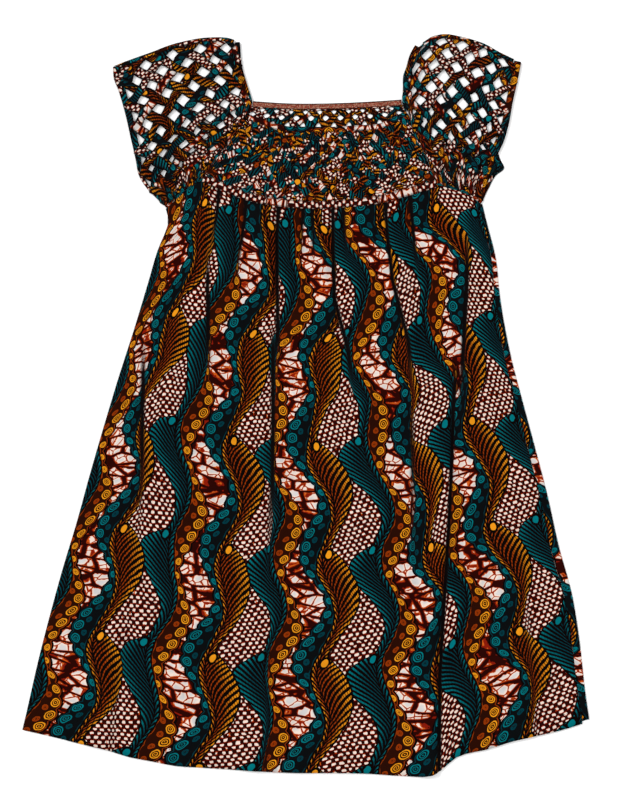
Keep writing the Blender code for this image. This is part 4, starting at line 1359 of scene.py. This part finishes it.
class DRESS_OT_stitching(DressPiece, bpy.types.Operator):
    """Sew the hem, the bands and the bindings with rows of thread"""

    bl_idname = "dress.stitching"
    bl_label = "Stitching"

    def execute(self, context):
        size = context.scene.dress_sizes
        long, thick = size.stitch / MM, size.thread / MM
        plan, z, _, hem = front_surface(*BODY_GRID)
        row = int(np.argmin(np.abs(hem[0] - HEM_DEPTH)))
        lines = [lift(plan[2:-2, row], z[2:-2, row])]
        for table, width, trim, height in (
            (YOKE_SEAM, YOKE_BAND_WIDTH, END_TRIM, BAND_TOP),
            (NECK_FRONT, NECK_FRONT_WIDTH, NECK_BAND_TRIM, NECK_TOP),
        ):
            grid, _ = flat_band_plan(table, width - 2 * STITCH_INSET, trim + 1, 0.0)
            lines += [lift(grid[:, side], height - BAND_STITCH_DEPTH) for side in (0, -1)]
        for table, inward in ((CUFF_LEFT, 1), (CUFF_RIGHT_FRONT, -1)):
            line = smooth_curve(table, 90, 4.0, 8.0)
            width = along(CUFF_WIDTHS, np.linspace(0.0, 1.0, 90))[:, None] - CUFF_STITCH_INSET
            lines.append(lift(line + inward * width * left_normals(line), BAND_TOP - SIDE_STITCH_DEPTH))
        for table, inward in ((NECK_EDGE_LEFT, 1), (NECK_EDGE_RIGHT, -1)):
            line = smooth_curve(reverse(table), 60, 7.0, 4.0)
            offset = inward * (NECK_SIDE_WIDTH - STITCH_INSET) * left_normals(line)
            lines.append(lift(line + offset, BAND_TOP - SIDE_STITCH_DEPTH))
        tubes = np.concatenate([stitch_tubes(line, long, STITCH_GAP, thick) for line in lines])
        stitching("stitching", tubes, plain("thread", context.scene.dress_colours.thread, 0.6))
        return {"FINISHED"}


# Stage

class DRESS_OT_stage(DressPiece, bpy.types.Operator):
    """Set the pale floor, the soft light and the camera straight above"""

    bl_idname = "dress.stage"
    bl_label = "Stage"

    def execute(self, context):
        scene = context.scene
        half, depth, shade = FLOOR
        sheet = Sheet("floor")
        sheet.shader.inputs["Base Color"].default_value = (shade, shade, shade, 1.0)
        sheet.shader.inputs["Roughness"].default_value = 0.9
        sheet.shader.inputs["Specular IOR Level"].default_value = 0.0
        mesh = bpy.data.meshes.new("floor")
        corners = [(x * half, y * half, -depth) for x, y in ((-1, -1), (1, -1), (1, 1), (-1, 1))]
        mesh.from_pydata(corners, [], [(0, 1, 2, 3)])
        mesh.materials.append(sheet.made)
        floor = bpy.data.objects.new("floor", mesh)
        scene.collection.objects.link(floor)

        world = bpy.data.worlds.new("studio")
        world.use_nodes = True
        sky = world.node_tree.nodes["Background"]
        sky.inputs["Color"].default_value = (1.0, 1.0, 1.0, 1.0)
        sky.inputs["Strength"].default_value = 1.0
        scene.world = world
        for name, strength, spread, turn in LAMPS:
            lamp = bpy.data.lights.new(name, "SUN")
            lamp.energy, lamp.angle = strength, math.radians(spread)
            made = bpy.data.objects.new(name, lamp)
            made.rotation_euler = [math.radians(angle) for angle in turn]
            scene.collection.objects.link(made)

        camera = bpy.data.objects.new("camera", bpy.data.cameras.new("camera"))
        camera.data.lens = CAMERA_LENS
        camera.data.sensor_width = 36.0
        camera.location = CAMERA_PLACE
        scene.collection.objects.link(camera)
        scene.camera = camera
        scene.view_settings.view_transform = "Standard"
        return {"FINISHED"}


# Panel settings

def tint(red, green, blue):
    """A colour given in 0 to 255 as a shader wants it, darker because the studio light is bright."""
    code = np.array([red, green, blue]) / 255
    line = np.where(code <= 0.04045, code / 12.92, ((code + 0.055) / 1.055) ** 2.4)
    return tuple((line / STUDIO_LIGHT).tolist())


def dye(name, description, colour):
    """A colour of the panel, given in 0 to 255."""
    return bpy.props.FloatVectorProperty(
        name=name, description=description, default=tint(*colour), subtype="COLOR", size=3, min=0.0, max=1.0
    )


def length(name, description, default):
    """A length of the panel, in metres."""
    return bpy.props.FloatProperty(
        name=name, description=description, default=default, min=0.0, unit="LENGTH", precision=5
    )


class DressSizes(bpy.types.PropertyGroup):
    """Sizes of the cloth and its print."""

    repeat_across: length("Repeat across", "Width of one repeat of the print", 0.159)
    repeat_up: length("Repeat up", "Height of one repeat of the print", 0.139)
    cloth_wall: length("Cloth", "Thickness of the body cloth as shown", 0.0006)
    stitch: length("Stitch", "Length of a stitch", 0.0026)
    thread: length("Thread", "Thickness of the sewing thread", 0.0005)


class DressColours(bpy.types.PropertyGroup):
    """Dyes of the print and the plain cloth."""

    teal: dye("Teal", "Ribs of the first leaf", (0, 114, 122))
    teal_deep: dye("Deep teal", "Lines round the berries", (0, 58, 68))
    gold: dye("Gold", "Outer ribs of the second leaf", (236, 150, 26))
    gold_deep: dye("Ochre", "Inner ribs and thin lines", (150, 54, 5))
    orange: dye("Orange", "Fringe of the crackle", (205, 92, 24))
    pale: dye("Pale", "Dabs and cells", (242, 222, 208))
    grey: dye("Grey", "Hearts of the cells", (214, 210, 208))
    maroon: dye("Red brown", "Gaps between the dabs", (136, 26, 8))
    maroon_deep: dye("Dark red", "Dark dabs between the pale ones and the veins", (42, 6, 3))
    dark: dye("Near black", "Outlines and shadows of the print", (10, 5, 4))
    facing: dye("Facing", "Plain band inside the back neck", (174, 138, 114))
    thread: dye("Thread", "Sewing thread", (40, 28, 26))


PIECES = (
    DRESS_OT_back_panel, DRESS_OT_front_panel, DRESS_OT_yokes, DRESS_OT_sleeves, DRESS_OT_bands,
    DRESS_OT_bindings, DRESS_OT_stitching, DRESS_OT_stage,
)


class DRESS_PT_panel(bpy.types.Panel):
    """The pieces of the dress and its stage, in the order in which they are made"""

    bl_idname = "DRESS_PT_panel"
    bl_label = "Dress"
    bl_space_type = "VIEW_3D"
    bl_region_type = "UI"
    bl_category = "Dress"

    def draw(self, context):
        for group in (context.scene.dress_sizes, context.scene.dress_colours):
            for name in group.__annotations__:
                self.layout.prop(group, name)
        for made in PIECES:
            self.layout.operator(made.bl_idname)


CLASSES = (DressSizes, DressColours, *PIECES, DRESS_PT_panel)


def register():
    for made in CLASSES:
        bpy.utils.register_class(made)
    bpy.types.Scene.dress_sizes = bpy.props.PointerProperty(type=DressSizes)
    bpy.types.Scene.dress_colours = bpy.props.PointerProperty(type=DressColours)


def unregister():
    del bpy.types.Scene.dress_colours
    del bpy.types.Scene.dress_sizes
    for made in reversed(CLASSES):
        bpy.utils.unregister_class(made)


def main():
    """Make every piece in order."""
    register()
    for name in ("back_panel", "front_panel", "yokes", "sleeves", "bands", "bindings", "stitching", "stage"):
        getattr(bpy.ops.dress, name)()


if __name__ == "__main__":
    main()
